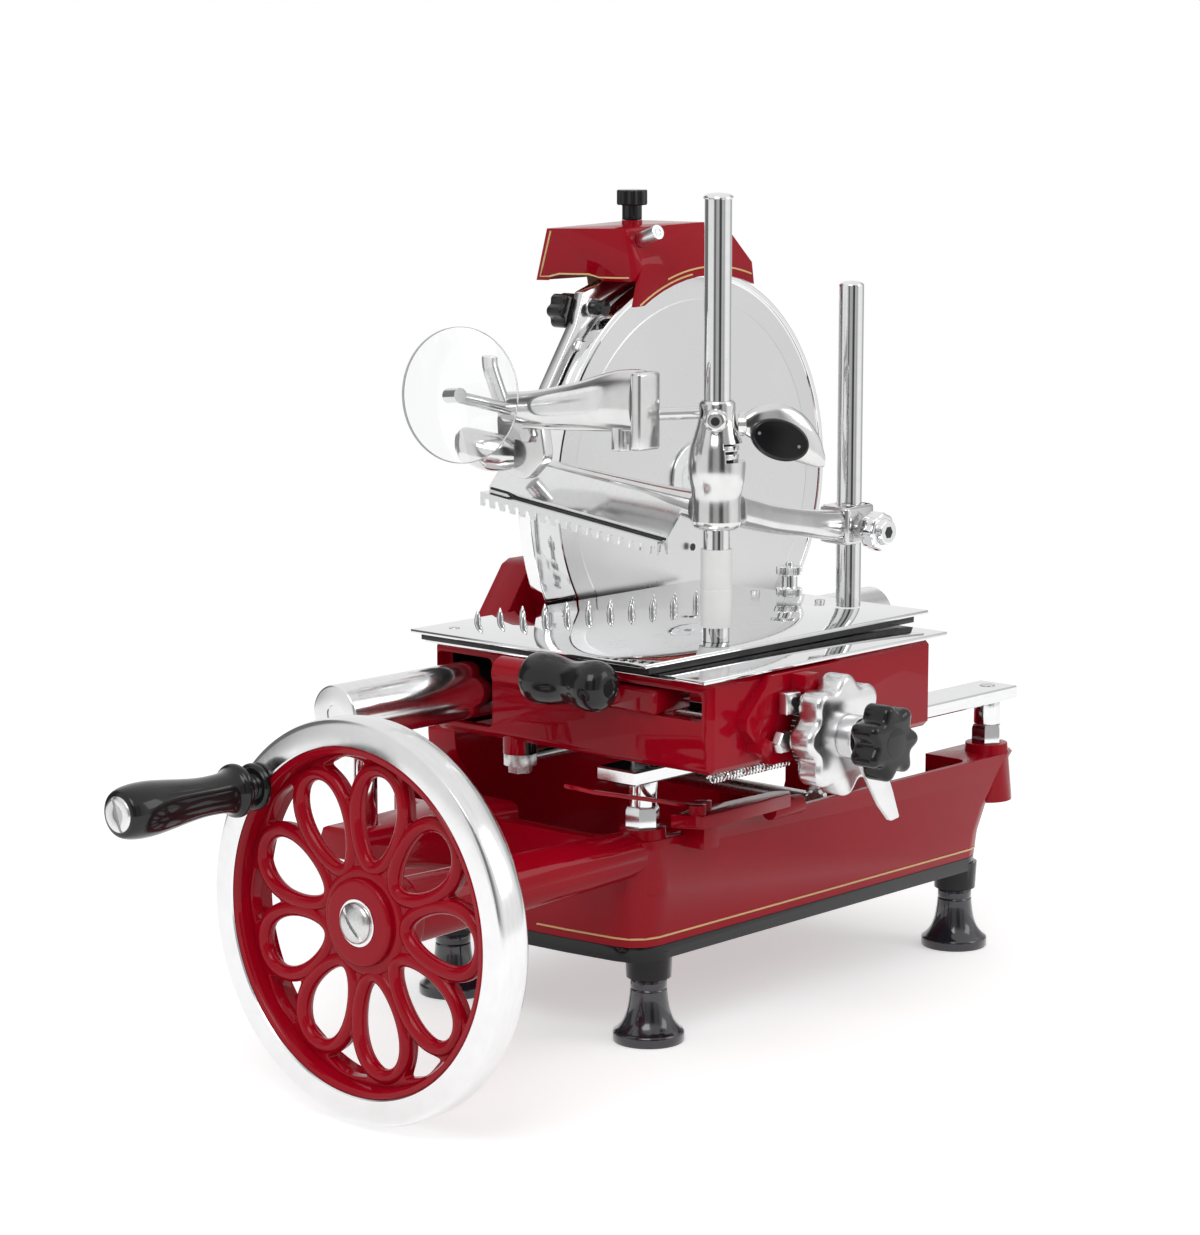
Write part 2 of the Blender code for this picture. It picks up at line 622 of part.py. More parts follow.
# Bar, rail and their posts
def make_slides():
    bar = block("bar", (BAR_LEFT_X, BAR_NEAR_Y, BAR_Z), (BAR_RIGHT_X, BAR_NEAR_Y + BAR_WIDTH, BAR_TOP), "frame",
                BAR_EDGE, 1)
    finish(bar, "front_bar", STEEL)
    for side, x in (("left", STANDOFF_LEFT_X), ("right", STANDOFF_RIGHT_X)):
        foot = BOSS_TOP + GAP
        nut = hexagon("nut", (x, BAR_Y, foot), (x, BAR_Y, foot + NUT_HEIGHT), NUT_FLATS, "frame")
        join(nut, rod("neck_" + side, (x, BAR_Y, foot + NUT_HEIGHT / 2), (x, BAR_Y, BAR_Z - GAP), STANDOFF_RADIUS, "frame"))
        join(nut, rod("stud_" + side, (x, BAR_Y, BOSS_TOP - STANDOFF_STUD_DEPTH), (x, BAR_Y, foot + NUT_HEIGHT / 2),
                      STANDOFF_STUD_RADIUS, "frame", sides=SMALL_ROUND))
        finish(nut, "bar_standoff_" + side, STEEL)
    ends = [(0, RAIL_RIGHT_X), (RAIL_RADIUS - RAIL_CHAMFER, RAIL_RIGHT_X), (RAIL_RADIUS, RAIL_RIGHT_X - RAIL_CHAMFER),
            (RAIL_RADIUS, RAIL_LEFT_X + RAIL_CHAMFER), (RAIL_RADIUS - RAIL_CHAMFER, RAIL_LEFT_X), (0, RAIL_LEFT_X)]
    rail = turned("rail", ends, (0, RAIL_Y, RAIL_Z), (1, 0, 0), "frame", FINE_ROUND)
    finish(rail, "rear_rail", CHROME)
    for side, x in (("left", RAIL_POST_LEFT_X), ("right", RAIL_POST_RIGHT_X)):
        post = rod("post", (x, RAIL_Y, HORN_TOP_Z - RAIL_POST_SEAT_DEPTH + GAP), (x, RAIL_Y, RAIL_Z - RAIL_RADIUS / 2),
                   RAIL_POST_RADIUS, "frame")
        cut(post, rod("rail_groove_" + side, (x - RAIL_POST_RADIUS * 2, RAIL_Y, RAIL_Z),
                      (x + RAIL_POST_RADIUS * 2, RAIL_Y, RAIL_Z), RAIL_RADIUS + GAP, "frame", sides=FINE_ROUND))
        finish(post, "rail_post_" + side, CHROME)


# Flywheel and crank
def petal_outline(angle, grow=0.0, steps=12):
    """The rounded opening inside one petal, as (y, z) points about the wheel's centre."""
    points = []
    middle = (PETAL_INNER_RADIUS + PETAL_OUTER_RADIUS) / 2
    reach = (PETAL_OUTER_RADIUS - PETAL_INNER_RADIUS) / 2 + grow
    for i in range(steps):
        turn = 2 * pi * i / steps
        radial = middle + reach * cos(turn)
        side = (PETAL_HALF_WIDTH + grow) * sin(turn) * (1 + PETAL_TAPER * cos(turn))
        points.append((radial * cos(angle) - side * sin(angle), radial * sin(angle) + side * cos(angle)))
    return points


def window_outline(angle):
    """The small opening at the rim between two petals."""
    corners = [(WINDOW_INNER_RADIUS, angle), (WINDOW_OUTER_RADIUS, angle - WINDOW_HALF_ANGLE),
               (WINDOW_OUTER_RADIUS + WINDOW_CROWN, angle), (WINDOW_OUTER_RADIUS, angle + WINDOW_HALF_ANGLE)]
    return [(radius * cos(turn), radius * sin(turn)) for radius, turn in corners]


def circle(radius, steps):
    return [(radius * cos(2 * pi * i / steps), radius * sin(2 * pi * i / steps)) for i in range(steps)]


def make_flywheel():
    body("flywheel", (WHEEL_FACE_X, WHEEL_Y, WHEEL_Z), "frame")
    centre = (WHEEL_FACE_X, WHEEL_Y, WHEEL_Z)
    outward = (-1, 0, 0)
    profile = [(RIM_INNER_RADIUS, 0), (RIM_RADIUS - RIM_FACE_EDGE, 0), (RIM_RADIUS, -RIM_FACE_EDGE)]
    profile += [(RIM_RADIUS - RIM_BACK_ROUND * (1 - cos(a)), -RIM_DEPTH + RIM_BACK_ROUND * (1 - sin(a)))
                for a in (0, pi / 6, pi / 3, pi / 2)]
    profile += [(RIM_INNER_RADIUS, -RIM_DEPTH)]
    rim = turned("rim", profile, centre, outward, "flywheel", FINE_ROUND)
    finish(rim, "flywheel_rim", STEEL)

    front = WHEEL_FACE_X + SPIDER_SET_BACK
    outlines = [circle(RIM_INNER_RADIUS - GAP, FINE_ROUND)]
    for i in range(PETAL_COUNT):
        angle = pi + 2 * pi * i / PETAL_COUNT
        outlines.append(petal_outline(angle))
        outlines.append(window_outline(angle + pi / PETAL_COUNT))
    outlines = [[(WHEEL_Y + y, WHEEL_Z + z) for y, z in outline] for outline in outlines]
    middle = front + SPIDER_DEPTH / 2
    spider = plate("spider", outlines, "X", middle - SPIDER_WEB / 2, middle + SPIDER_WEB / 2, "flywheel", centre)
    for i in range(PETAL_COUNT):
        angle = pi + 2 * pi * i / PETAL_COUNT
        ring = [[(WHEEL_Y + y, WHEEL_Z + z) for y, z in petal_outline(angle, grow)] for grow in (PETAL_RIM, 0)]
        join(spider, plate("petal_%d" % i, ring, "X", middle - PETAL_RIM_DEPTH / 2, middle + PETAL_RIM_DEPTH / 2, "flywheel", centre))
    hub = rod("hub", (front, WHEEL_Y, WHEEL_Z), (front + SPIDER_HUB_DEPTH, WHEEL_Y, WHEEL_Z), SPIDER_HUB_RADIUS,
              "flywheel", SPIDER_HUB_RADIUS * SPIDER_HUB_TAPER_SHARE, FINE_ROUND)
    join(spider, hub)
    cut(spider, rod("hub_bore", (front + WHEEL_SCREW_SHANK + GAP, WHEEL_Y, WHEEL_Z),
                    (front + SPIDER_HUB_DEPTH + OVERRUN, WHEEL_Y, WHEEL_Z), AXLE_RADIUS + GAP, "flywheel"))
    cut(spider, rod("screw_hole", (front - OVERRUN, WHEEL_Y, WHEEL_Z),
                    (front + WHEEL_SCREW_SHANK + OVERRUN, WHEEL_Y, WHEEL_Z), WHEEL_SCREW_SHANK_RADIUS + GAP, "flywheel",
                    sides=SMALL_ROUND))
    finish(spider, "flywheel_spider", RED, 50)

    axle_left = front + WHEEL_SCREW_SHANK + GAP * 2
    axle = rod("axle", (axle_left, WHEEL_Y, WHEEL_Z), (AXLE_RIGHT_X, WHEEL_Y, WHEEL_Z), AXLE_RADIUS, "flywheel")
    cut(axle, rod("axle_thread", (axle_left - OVERRUN, WHEEL_Y, WHEEL_Z), (axle_left + WHEEL_SCREW_SHANK, WHEEL_Y, WHEEL_Z),
                  WHEEL_SCREW_SHANK_RADIUS + GAP, "flywheel", sides=SMALL_ROUND))
    finish(axle, "flywheel_axle", BRUSHED)

    head = front - GAP
    dome = [(0, WHEEL_SCREW_DOME)]
    dome += [(WHEEL_SCREW_RADIUS * sin(a), WHEEL_SCREW_DOME * cos(a)) for a in (pi / 7, pi / 3.5, pi / 2.4)]
    dome += [(WHEEL_SCREW_RADIUS, 0), (WHEEL_SCREW_SHANK_RADIUS, 0), (WHEEL_SCREW_SHANK_RADIUS, -WHEEL_SCREW_SHANK * 1.8),
             (0, -WHEEL_SCREW_SHANK * 1.8)]
    screw = turned("screw", dome, (head, WHEEL_Y, WHEEL_Z), outward, "flywheel", ROUND)
    cut(screw, slot_box("screw_slot", (head - WHEEL_SCREW_DOME, WHEEL_Y, WHEEL_Z), WHEEL_SCREW_RADIUS, "flywheel"))
    finish(screw, "flywheel_screw", BRUSHED)


def slot_box(name, centre, radius, on):
    """A screwdriver slot across a head that faces -X."""
    shape = bmesh.new()
    bmesh.ops.create_cube(shape, size=1.0)
    bmesh.ops.scale(shape, vec=(SLOT_DEPTH * 2, SLOT_WIDTH, radius * 3), verts=shape.verts)
    obj = from_bmesh(name, shape)
    obj.data.transform(Matrix.Rotation(SLOT_TURN, 4, "X"))
    return put(obj, on, centre)


def make_crank():
    centre = (WHEEL_FACE_X, CRANK_Y, CRANK_Z)
    collar = CRANK_COLLAR_LENGTH + GAP
    neck = collar + CRANK_NECK_LENGTH
    grip_end = neck + GAP + GRIP_LENGTH
    cap = grip_end + GAP
    body("crank_grip", (WHEEL_FACE_X - neck - GRIP_LENGTH / 2, CRANK_Y, CRANK_Z), "flywheel")
    profile = [(0, cap + GRIP_CAP_LENGTH), (GRIP_CAP_RADIUS * 0.8, cap + GRIP_CAP_LENGTH),
               (GRIP_CAP_RADIUS, cap + GRIP_CAP_LENGTH * 0.8), (GRIP_CAP_RADIUS, cap), (CRANK_PIN_RADIUS, cap),
               (CRANK_PIN_RADIUS, neck), (CRANK_COLLAR_RADIUS, collar), (CRANK_COLLAR_RADIUS, GAP), (0, GAP)]
    pin = turned("pin", profile, centre, (-1, 0, 0), "flywheel")
    cut(pin, slot_box("cap_slot", (WHEEL_FACE_X - cap - GRIP_CAP_LENGTH, CRANK_Y, CRANK_Z), GRIP_CAP_RADIUS, "flywheel"))
    finish(pin, "crank_pin", STEEL)
    start = neck + GAP
    shares = ((1.0, GRIP_END_RADIUS), (0.96, GRIP_END_RADIUS * 1.15), (0.86, GRIP_SWELL_RADIUS * 0.98),
              (0.74, GRIP_SWELL_RADIUS), (0.60, GRIP_SWELL_RADIUS * 0.92), (0.44, (GRIP_SWELL_RADIUS + GRIP_WAIST_RADIUS) / 2.1),
              (0.28, GRIP_WAIST_RADIUS), (0.14, GRIP_WAIST_RADIUS * 1.04))
    profile = [(radius, start + GRIP_LENGTH * share) for share, radius in shares]
    profile += [(GRIP_FLANGE_RADIUS, start + GRIP_FLANGE_LENGTH), (GRIP_FLANGE_RADIUS, start),
                (CRANK_PIN_RADIUS + GAP, start), (CRANK_PIN_RADIUS + GAP, start + GRIP_LENGTH)]
    grip = turned("grip", profile, centre, (-1, 0, 0), "crank_grip", ROUND)
    finish(grip, "crank_grip", BLACK_PLASTIC)


# Blade drive
def bevel_gear(name, tip, toward, on, paint):
    """A bevel gear as a toothed cone, its small end at a point and its axis along a direction."""
    teeth = BEVEL_TEETH
    start = Vector(tip)
    direction = Vector(toward).normalized()
    rings = []
    turn = along(direction)
    for share, height in ((BEVEL_SMALL_SHARE, 0), (1.0, BEVEL_DEPTH), (BEVEL_BACK_SHARE, BEVEL_DEPTH + BEVEL_BACK)):
        ring = []
        for i in range(teeth * 2):
            radius = BEVEL_RADIUS * share * (1 if i % 2 else BEVEL_ROOT_SHARE)
            angle = pi * i / teeth
            ring.append(start + turn @ Vector((radius * cos(angle), radius * sin(angle), height)))
        rings.append(ring)
    gear = loft(name, rings, on, start)
    return finish(gear, name, paint, 20)


def make_drive():
    body("cross_shaft", (CROSS_SHAFT_X, CHAIN_Y, WHEEL_Z), "frame")
    reach = BEVEL_RADIUS * BEVEL_SMALL_SHARE + BEVEL_GAP
    gear_x = CROSS_SHAFT_X - reach - BEVEL_DEPTH - BEVEL_BACK
    drive = bevel_gear("drive_bevel_gear", (CROSS_SHAFT_X - reach, WHEEL_Y, WHEEL_Z), (-1, 0, 0), "flywheel", BRUSHED)
    cut(drive, rod("drive_gear_bore", (gear_x - OVERRUN, WHEEL_Y, WHEEL_Z), (CROSS_SHAFT_X, WHEEL_Y, WHEEL_Z),
                   AXLE_RADIUS + GAP, "flywheel"))
    driven = bevel_gear("cross_bevel_gear", (CROSS_SHAFT_X, WHEEL_Y + reach, WHEEL_Z), (0, 1, 0), "cross_shaft", BRUSHED)
    cut(driven, rod("cross_gear_bore", (CROSS_SHAFT_X, WHEEL_Y, WHEEL_Z), (CROSS_SHAFT_X, CHAIN_Y, WHEEL_Z),
                    CROSS_SHAFT_RADIUS + GAP, "cross_shaft"))
    near = WHEEL_Y + reach + OVERRUN / 2
    profile = [(0, CHAIN_Y + SPROCKET_THICKNESS / 2), (LOWER_SPROCKET_RADIUS, CHAIN_Y + SPROCKET_THICKNESS / 2),
               (LOWER_SPROCKET_RADIUS, CHAIN_Y - SPROCKET_THICKNESS / 2), (CROSS_SHAFT_RADIUS, CHAIN_Y - SPROCKET_THICKNESS / 2),
               (CROSS_SHAFT_RADIUS, near), (0, near)]
    shaft = turned("cross", profile, (CROSS_SHAFT_X, 0, WHEEL_Z), (0, 1, 0), "cross_shaft", ROUND)
    finish(shaft, "cross_shaft", BRUSHED)

    body("blade", (0, 0, BLADE_Z), "frame")
    centre = (0, 0, BLADE_Z)
    face = BLADE_RADIUS - BLADE_EDGE_WIDTH
    profile = [(0, 0), (face, 0), (BLADE_RADIUS, -BLADE_EDGE_THICKNESS), (BLADE_RADIUS, -BLADE_EDGE_THICKNESS * 2),
               (face, -BLADE_THICKNESS), (0, -BLADE_THICKNESS)]
    blade = turned("disc", profile, centre, (0, -1, 0), "blade", FINE_ROUND * 3 // 2)
    finish(blade, "blade", STEEL, 12)
    cap = rod("cap", (0, -GAP, BLADE_Z), (0, -GAP - BLADE_HUB_THICKNESS, BLADE_Z), BLADE_HUB_RADIUS, "blade", sides=FINE_ROUND)
    join(cap, hexagon("bolt_head", (0, -BLADE_HUB_THICKNESS / 2, BLADE_Z),
                      (0, -GAP - BLADE_HUB_THICKNESS - BLADE_BOLT_HEIGHT, BLADE_Z), BLADE_BOLT_FLATS, "blade"))
    finish(cap, "blade_hub_cap", STEEL)
    back = BLADE_THICKNESS + GAP
    chain_near = CHAIN_Y - SPROCKET_THICKNESS / 2
    profile = [(0, CHAIN_Y + SPROCKET_THICKNESS / 2), (UPPER_SPROCKET_RADIUS, CHAIN_Y + SPROCKET_THICKNESS / 2),
               (UPPER_SPROCKET_RADIUS, chain_near), (BLADE_SHAFT_RADIUS, chain_near),
               (BLADE_SHAFT_RADIUS, back + BLADE_SHAFT_FLANGE), (BLADE_SHAFT_FLANGE_RADIUS, back + BLADE_SHAFT_FLANGE),
               (BLADE_SHAFT_FLANGE_RADIUS, back), (0, back)]
    shaft = turned("spindle", profile, centre, (0, 1, 0), "blade", ROUND)
    finish(shaft, "blade_shaft", BRUSHED)


def make_chain():
    """The chain's loop round both sprockets, as one band."""
    low = Vector((CROSS_SHAFT_X, WHEEL_Z))
    high = Vector((0, BLADE_Z))
    span = high - low
    tilt = atan2(span.y, span.x)
    lean = acos((LOWER_SPROCKET_RADIUS - UPPER_SPROCKET_RADIUS) / span.length)

    def loop(offset):
        upper = arc(high, UPPER_SPROCKET_RADIUS + offset, tilt - lean, tilt + lean, 10)
        lower = arc(low, LOWER_SPROCKET_RADIUS + offset, tilt + lean, tilt - lean + 2 * pi, 14)
        return upper + lower

    chain = plate("chain", [loop(CHAIN_PLAY + CHAIN_THICKNESS), loop(CHAIN_PLAY)], "Y", CHAIN_Y - CHAIN_WIDTH / 2,
                  CHAIN_Y + CHAIN_WIDTH / 2, "frame")
    finish(chain, "drive_chain", BRUSHED)


def make_column():
    floor = CASTING_Z + BASE_FLOOR + GAP
    far = BASE_FAR_Y - BASE_WALL - GAP * 2
    head_low = BLADE_Z - COLUMN_HEAD_RADIUS
    head_high = BLADE_Z + COLUMN_HEAD_RADIUS
    corners = [(COLUMN_LEFT_FOOT_X, floor, 0), (COLUMN_RIGHT_FOOT_X, floor, 0),
               (COLUMN_RIGHT_FOOT_X, floor + COLUMN_WAIST_RISE), (COLUMN_HEAD_RADIUS * 1.3, head_low),
               (COLUMN_HEAD_RADIUS, head_high), (-COLUMN_HEAD_RADIUS, head_high)]
    outline = softened(corners + list(COLUMN_SHOULDER) + list(COLUMN_BELLY), BASE_CORNER_RADIUS, 5)
    column = plate("column", [outline], "Y", COLUMN_NEAR_Y, far, "frame")
    cut(column, rod("bearing_hole", (0, COLUMN_NEAR_Y - OVERRUN, BLADE_Z), (0, far + OVERRUN, BLADE_Z), BEARING_RADIUS + GAP, "frame"))
    cut(column, rod("cross_shaft_hole", (CROSS_SHAFT_X, COLUMN_NEAR_Y - OVERRUN, WHEEL_Z),
                    (CROSS_SHAFT_X, far + OVERRUN, WHEEL_Z), CROSS_SHAFT_RADIUS + GAP, "frame"))
    finish(column, "blade_column", RED)
    profile = [(BEARING_RADIUS, far + BEARING_PROUD), (BEARING_RADIUS, COLUMN_NEAR_Y - BEARING_PROUD),
               (BLADE_SHAFT_RADIUS + GAP, COLUMN_NEAR_Y - BEARING_PROUD), (BLADE_SHAFT_RADIUS + GAP, far + BEARING_PROUD)]
    finish(turned("bearing", profile, (0, 0, BLADE_Z), (0, 1, 0), "frame"), "blade_bearing", BRONZE)
    profile = [(AXLE_RADIUS + BUSH_THICKNESS, BUSH_LENGTH), (AXLE_RADIUS + BUSH_THICKNESS, GAP), (AXLE_RADIUS + GAP, GAP),
               (AXLE_RADIUS + GAP, BUSH_LENGTH)]
    finish(turned("bush", profile, (SNOUT_TIP_X - GAP, WHEEL_Y, WHEEL_Z), (1, 0, 0), "frame"), "axle_bush", BRONZE)


def make_guard():
    """The ring round the blade: a wall round its edge, a back plate behind it and three spacers to the column."""
    steps = 32
    start = GUARD_OPEN_START
    end = GUARD_OPEN_END + 2 * pi
    outer = []
    for i in range(steps + 1):
        angle = start + (end - start) * i / steps
        share = min(max((angle - GUARD_WIDE_FROM) / (GUARD_WIDE_FULL - GUARD_WIDE_FROM), 0), 1)
        reach = GUARD_RADIUS + GUARD_WIDENING * share * share * (3 - 2 * share)
        outer.append((reach * cos(angle), BLADE_Z + reach * sin(angle)))
    inner = arc((0, BLADE_Z), GUARD_INNER_RADIUS, end, start, steps)
    ring = plate("guard", [outer + inner], "Y", GUARD_FRONT_Y, GUARD_FRONT_Y + GUARD_DEPTH, "frame")
    back = GUARD_FRONT_Y + GUARD_DEPTH
    front = back - GUARD_BACK_WALL
    join(ring, plate("guard_hub", [[(x, BLADE_Z + z) for x, z in circle(GUARD_HUB_RADIUS, ROUND)],
                                   [(x, BLADE_Z + z) for x, z in circle(GUARD_HUB_BORE, ROUND)]], "Y", front, back, "frame"))
    for i, angle in enumerate(GUARD_SPOKE_ANGLES):
        along_x = cos(angle)
        along_z = sin(angle)
        half = GUARD_SPOKE_WIDTH / 2
        first = GUARD_HUB_RADIUS - OVERRUN
        last = GUARD_INNER_RADIUS + OVERRUN
        spoke = [(first * along_x - half * along_z, BLADE_Z + first * along_z + half * along_x),
                 (last * along_x - half * along_z, BLADE_Z + last * along_z + half * along_x),
                 (last * along_x + half * along_z, BLADE_Z + last * along_z - half * along_x),
                 (first * along_x + half * along_z, BLADE_Z + first * along_z - half * along_x)]
        join(ring, plate("guard_spoke_%d" % i, [spoke], "Y", front + GAP, back - GAP, "frame"))
        x = GUARD_SPACER_ORBIT * along_x
        z = BLADE_Z + GUARD_SPACER_ORBIT * along_z
        join(ring, rod("guard_spacer_%d" % i, (x, back - GUARD_BACK_WALL / 2, z), (x, COLUMN_NEAR_Y - GAP, z),
                       GUARD_SPACER_RADIUS, "frame", sides=SMALL_ROUND))
    finish(ring, "blade_guard", CHROME)


# Sharpener
HOOD_LOW = ((-0.099, 0.070, 0.502), (-0.0835, -0.0105, 0.5035), (0.0485, -0.0105, 0.5035), (0.045, 0.066, 0.502))
HOOD_HIGH = ((-0.109, 0.050, 0.541), (-0.0895, -0.008, 0.542), (-0.0765, -0.014, 0.513), (-0.001, -0.008, 0.5436),
             (0.029, -0.008, 0.5365), (0.049, -0.014, 0.512), (-0.001, 0.060, 0.543), (0.037, 0.060, 0.528))
HOOD_CENTRE = (-0.025, 0.028, 0.486)
HOOD_WALL_SHARE = 0.92
HOOD_OPEN_DROP = 0.030
HOOD_LIP_TOP = 0.514
HOOD_LIP_CORNERS = ((-0.084, 0.485), (-0.0765, 0.513), (0.049, 0.512), (0.052, 0.493))
HOOD_LIP_NEAR_Y = -0.0140
HOOD_LIP_THICKNESS = 0.0034
HOOD_LIP_CLEARANCE = 0.0025
HOOD_LIP_ARC = BLADE_RADIUS + HOOD_LIP_CLEARANCE
HOOD_PILLAR_X = -0.012
HOOD_PILLAR_RADIUS = 0.0055
HOOD_PILLAR_TOP = 0.538
BRACKET_NEAR_Y = 0.0142
BRACKET_FAR_Y = 0.0237
BRACKET_TOP = 0.5117
BRACKET_OUTLINE = ((-0.036, 0.322), (-0.036, 0.398), (-0.092, 0.446), (-0.084, 0.482), (0.000, 0.490),
                   (0.006, 0.5117), (-0.060, 0.5117), (-0.108, 0.496), (-0.117, 0.472), (-0.146, 0.430), (-0.166, 0.396), (-0.172, 0.362),
                   (-0.130, 0.338))
STONE_CENTRE = (-0.062, 0.041, 0.505)
STONE_AXIS = (0.45, -0.85, 0.10)
STONE_RADIUS = 0.0195
STONE_THICKNESS = 0.0090
STONE_SHAFT_RADIUS = 0.0045
STONE_SHAFT_LENGTH = 0.0170
STONE_KNOB_CENTRE = (-0.110, 0.0240, 0.482)
STONE_KNOB_AXIS = (0, 1, 0)
STONE_KNOB_RADIUS = 0.0135
STONE_KNOB_THICKNESS = 0.0140
STONE_KNOB_LOBES = 6
TOP_KNOB_X = -0.0450
TOP_KNOB_Y = 0.0236
TOP_KNOB_PIN_RADIUS = 0.0045
TOP_KNOB_PIN_LENGTH = 0.0150
TOP_KNOB_STEM_RADIUS = 0.0077
TOP_KNOB_STEM_HEIGHT = 0.0108
TOP_KNOB_CAP_RADIUS = 0.0113
TOP_KNOB_CAP_HEIGHT = 0.0113
TOP_KNOB_FLUTE = 0.0013
TOP_KNOB_LOBES = 8
TOP_BOSS_HEIGHT = 0.0020
TOP_BOSS_SINK = 0.0070
HOOD_TOP_Z = max(point[2] for point in HOOD_HIGH)
TOP_BOSS_Z = HOOD_TOP_Z + TOP_BOSS_HEIGHT
PUSH_PIN_START = (-0.0725, -0.0015, 0.5305)
PUSH_PIN_END = (-0.0770, -0.0300, 0.5400)
PUSH_PIN_RADIUS = 0.0055


def hull(name, points, on):
    """The closed convex body through points."""
    shape = bmesh.new()
    verts = [shape.verts.new(point) for point in points]
    made = bmesh.ops.convex_hull(shape, input=verts)
    spare = [vert for vert in shape.verts if not vert.link_faces]
    bmesh.ops.delete(shape, geom=spare, context="VERTS")
    bmesh.ops.recalc_face_normals(shape, faces=shape.faces)
    return put(from_bmesh(name, shape), on)


def lobed(name, radius, depth, lobes, thickness, centre, direction, on, bore=0.0, steps=6, bevel=0.0):
    """A hand wheel or knob with round lobes, its near face centred on a point and its thickness along a direction."""
    outline = []
    for i in range(lobes * steps):
        angle = 2 * pi * i / (lobes * steps)
        reach = radius - depth * (0.5 - 0.5 * cos(lobes * angle)) ** 1.6
        outline.append((reach * cos(angle), reach * sin(angle)))
    outlines = [outline] if not bore else [outline, circle(bore, SMALL_ROUND)]
    obj = plate(name, outlines, "Z", 0, thickness, on, bead=bevel)
    obj.data.transform(along(direction))
    return put(obj, on, centre)


def make_sharpener():
    points = HOOD_LOW + HOOD_HIGH
    hood = hull("sharpener_cover", points, "frame")
    centre = Vector(HOOD_CENTRE)
    inner = [centre + (Vector(point) - centre) * HOOD_WALL_SHARE for point in points]
    inner += [centre + (Vector(point) - centre) * HOOD_WALL_SHARE - Vector((0, 0, HOOD_OPEN_DROP)) for point in HOOD_LOW]
    cut(hood, hull("hood_cavity", inner, "frame"))
    join(hood, plate("hood_lip", [HOOD_LIP_CORNERS], "Y", HOOD_LIP_NEAR_Y, HOOD_LIP_NEAR_Y + HOOD_LIP_THICKNESS, "frame"))
    cut(hood, rod("lip_arc", (0, HOOD_LIP_NEAR_Y * 2, BLADE_Z), (0, HOOD_LIP_NEAR_Y / 2, BLADE_Z), HOOD_LIP_ARC, "frame",
                  sides=FINE_ROUND * 2))
    cut(hood, rod("ring_room", (0, -GAP * 2, BLADE_Z), (0, GUARD_DEPTH + GAP * 3, BLADE_Z), GUARD_ROOM_RADIUS, "frame",
                  sides=FINE_ROUND * 2))
    pillar_y = (BRACKET_NEAR_Y + BRACKET_FAR_Y) / 2
    join(hood, rod("pillar", (HOOD_PILLAR_X, pillar_y, BRACKET_TOP + GAP), (HOOD_PILLAR_X, pillar_y, HOOD_PILLAR_TOP + GAP * 4),
                   HOOD_PILLAR_RADIUS, "frame", sides=SMALL_ROUND))
    top_low = (TOP_KNOB_X, TOP_KNOB_Y, TOP_BOSS_Z + GAP - TOP_KNOB_PIN_LENGTH)
    top_seat = (TOP_KNOB_X, TOP_KNOB_Y, TOP_BOSS_Z)
    join(hood, rod("top_boss", (TOP_KNOB_X, TOP_KNOB_Y, TOP_BOSS_Z - TOP_BOSS_SINK), top_seat, TOP_KNOB_STEM_RADIUS, "frame"))
    cut(hood, rod("top_hole", top_low, (TOP_KNOB_X, TOP_KNOB_Y, TOP_BOSS_Z + OVERRUN), TOP_KNOB_PIN_RADIUS + GAP, "frame"))
    start = Vector(PUSH_PIN_START)
    end = Vector(PUSH_PIN_END)
    cut(hood, rod("pin_hole", start - (end - start) * 0.2, end, PUSH_PIN_RADIUS + GAP, "frame"))
    finish(hood, "sharpener_cover", RED, 25)

    bracket = plate("bracket", [BRACKET_OUTLINE], "Y", BRACKET_NEAR_Y, BRACKET_FAR_Y, "frame")
    knob_axis = Vector(STONE_KNOB_AXIS).normalized()
    knob = Vector(STONE_KNOB_CENTRE)
    finish(bracket, "sharpener_bracket", CHROME, 25)

    body("grinding_stone", STONE_CENTRE, "frame")
    axis = Vector(STONE_AXIS).normalized()
    profile = [(0, STONE_SHAFT_LENGTH), (STONE_SHAFT_RADIUS, STONE_SHAFT_LENGTH), (STONE_SHAFT_RADIUS, STONE_THICKNESS / 2),
               (STONE_RADIUS, STONE_THICKNESS / 2), (STONE_RADIUS, -STONE_THICKNESS / 2), (0, -STONE_THICKNESS / 2)]
    finish(turned("stone", profile, STONE_CENTRE, axis, "grinding_stone"), "grinding_stone", STONE)

    body("stone_knob", STONE_KNOB_CENTRE, "frame")
    knob_obj = lobed("knob", STONE_KNOB_RADIUS, STONE_KNOB_RADIUS * 0.2, STONE_KNOB_LOBES, STONE_KNOB_THICKNESS, knob,
                     knob_axis, "stone_knob", steps=5, bevel=STONE_KNOB_RADIUS * 0.12)
    finish(knob_obj, "stone_knob", BLACK_PLASTIC)

    body("top_knob", top_low, "frame")
    seat = TOP_BOSS_Z + GAP
    cap_low = (TOP_KNOB_X, TOP_KNOB_Y, seat + TOP_KNOB_STEM_HEIGHT)
    cap = lobed("cap", TOP_KNOB_CAP_RADIUS, TOP_KNOB_FLUTE, TOP_KNOB_LOBES, TOP_KNOB_CAP_HEIGHT, cap_low, (0, 0, 1), "top_knob",
                steps=4, bevel=TOP_KNOB_FLUTE)
    join(cap, rod("cap_stem", (TOP_KNOB_X, TOP_KNOB_Y, seat), (TOP_KNOB_X, TOP_KNOB_Y, cap_low[2] + OVERRUN),
                  TOP_KNOB_STEM_RADIUS - GAP, "top_knob"))
    join(cap, rod("cap_pin", top_low, (TOP_KNOB_X, TOP_KNOB_Y, seat + OVERRUN), TOP_KNOB_PIN_RADIUS, "top_knob"))
    finish(cap, "top_knob", BLACK_PLASTIC)

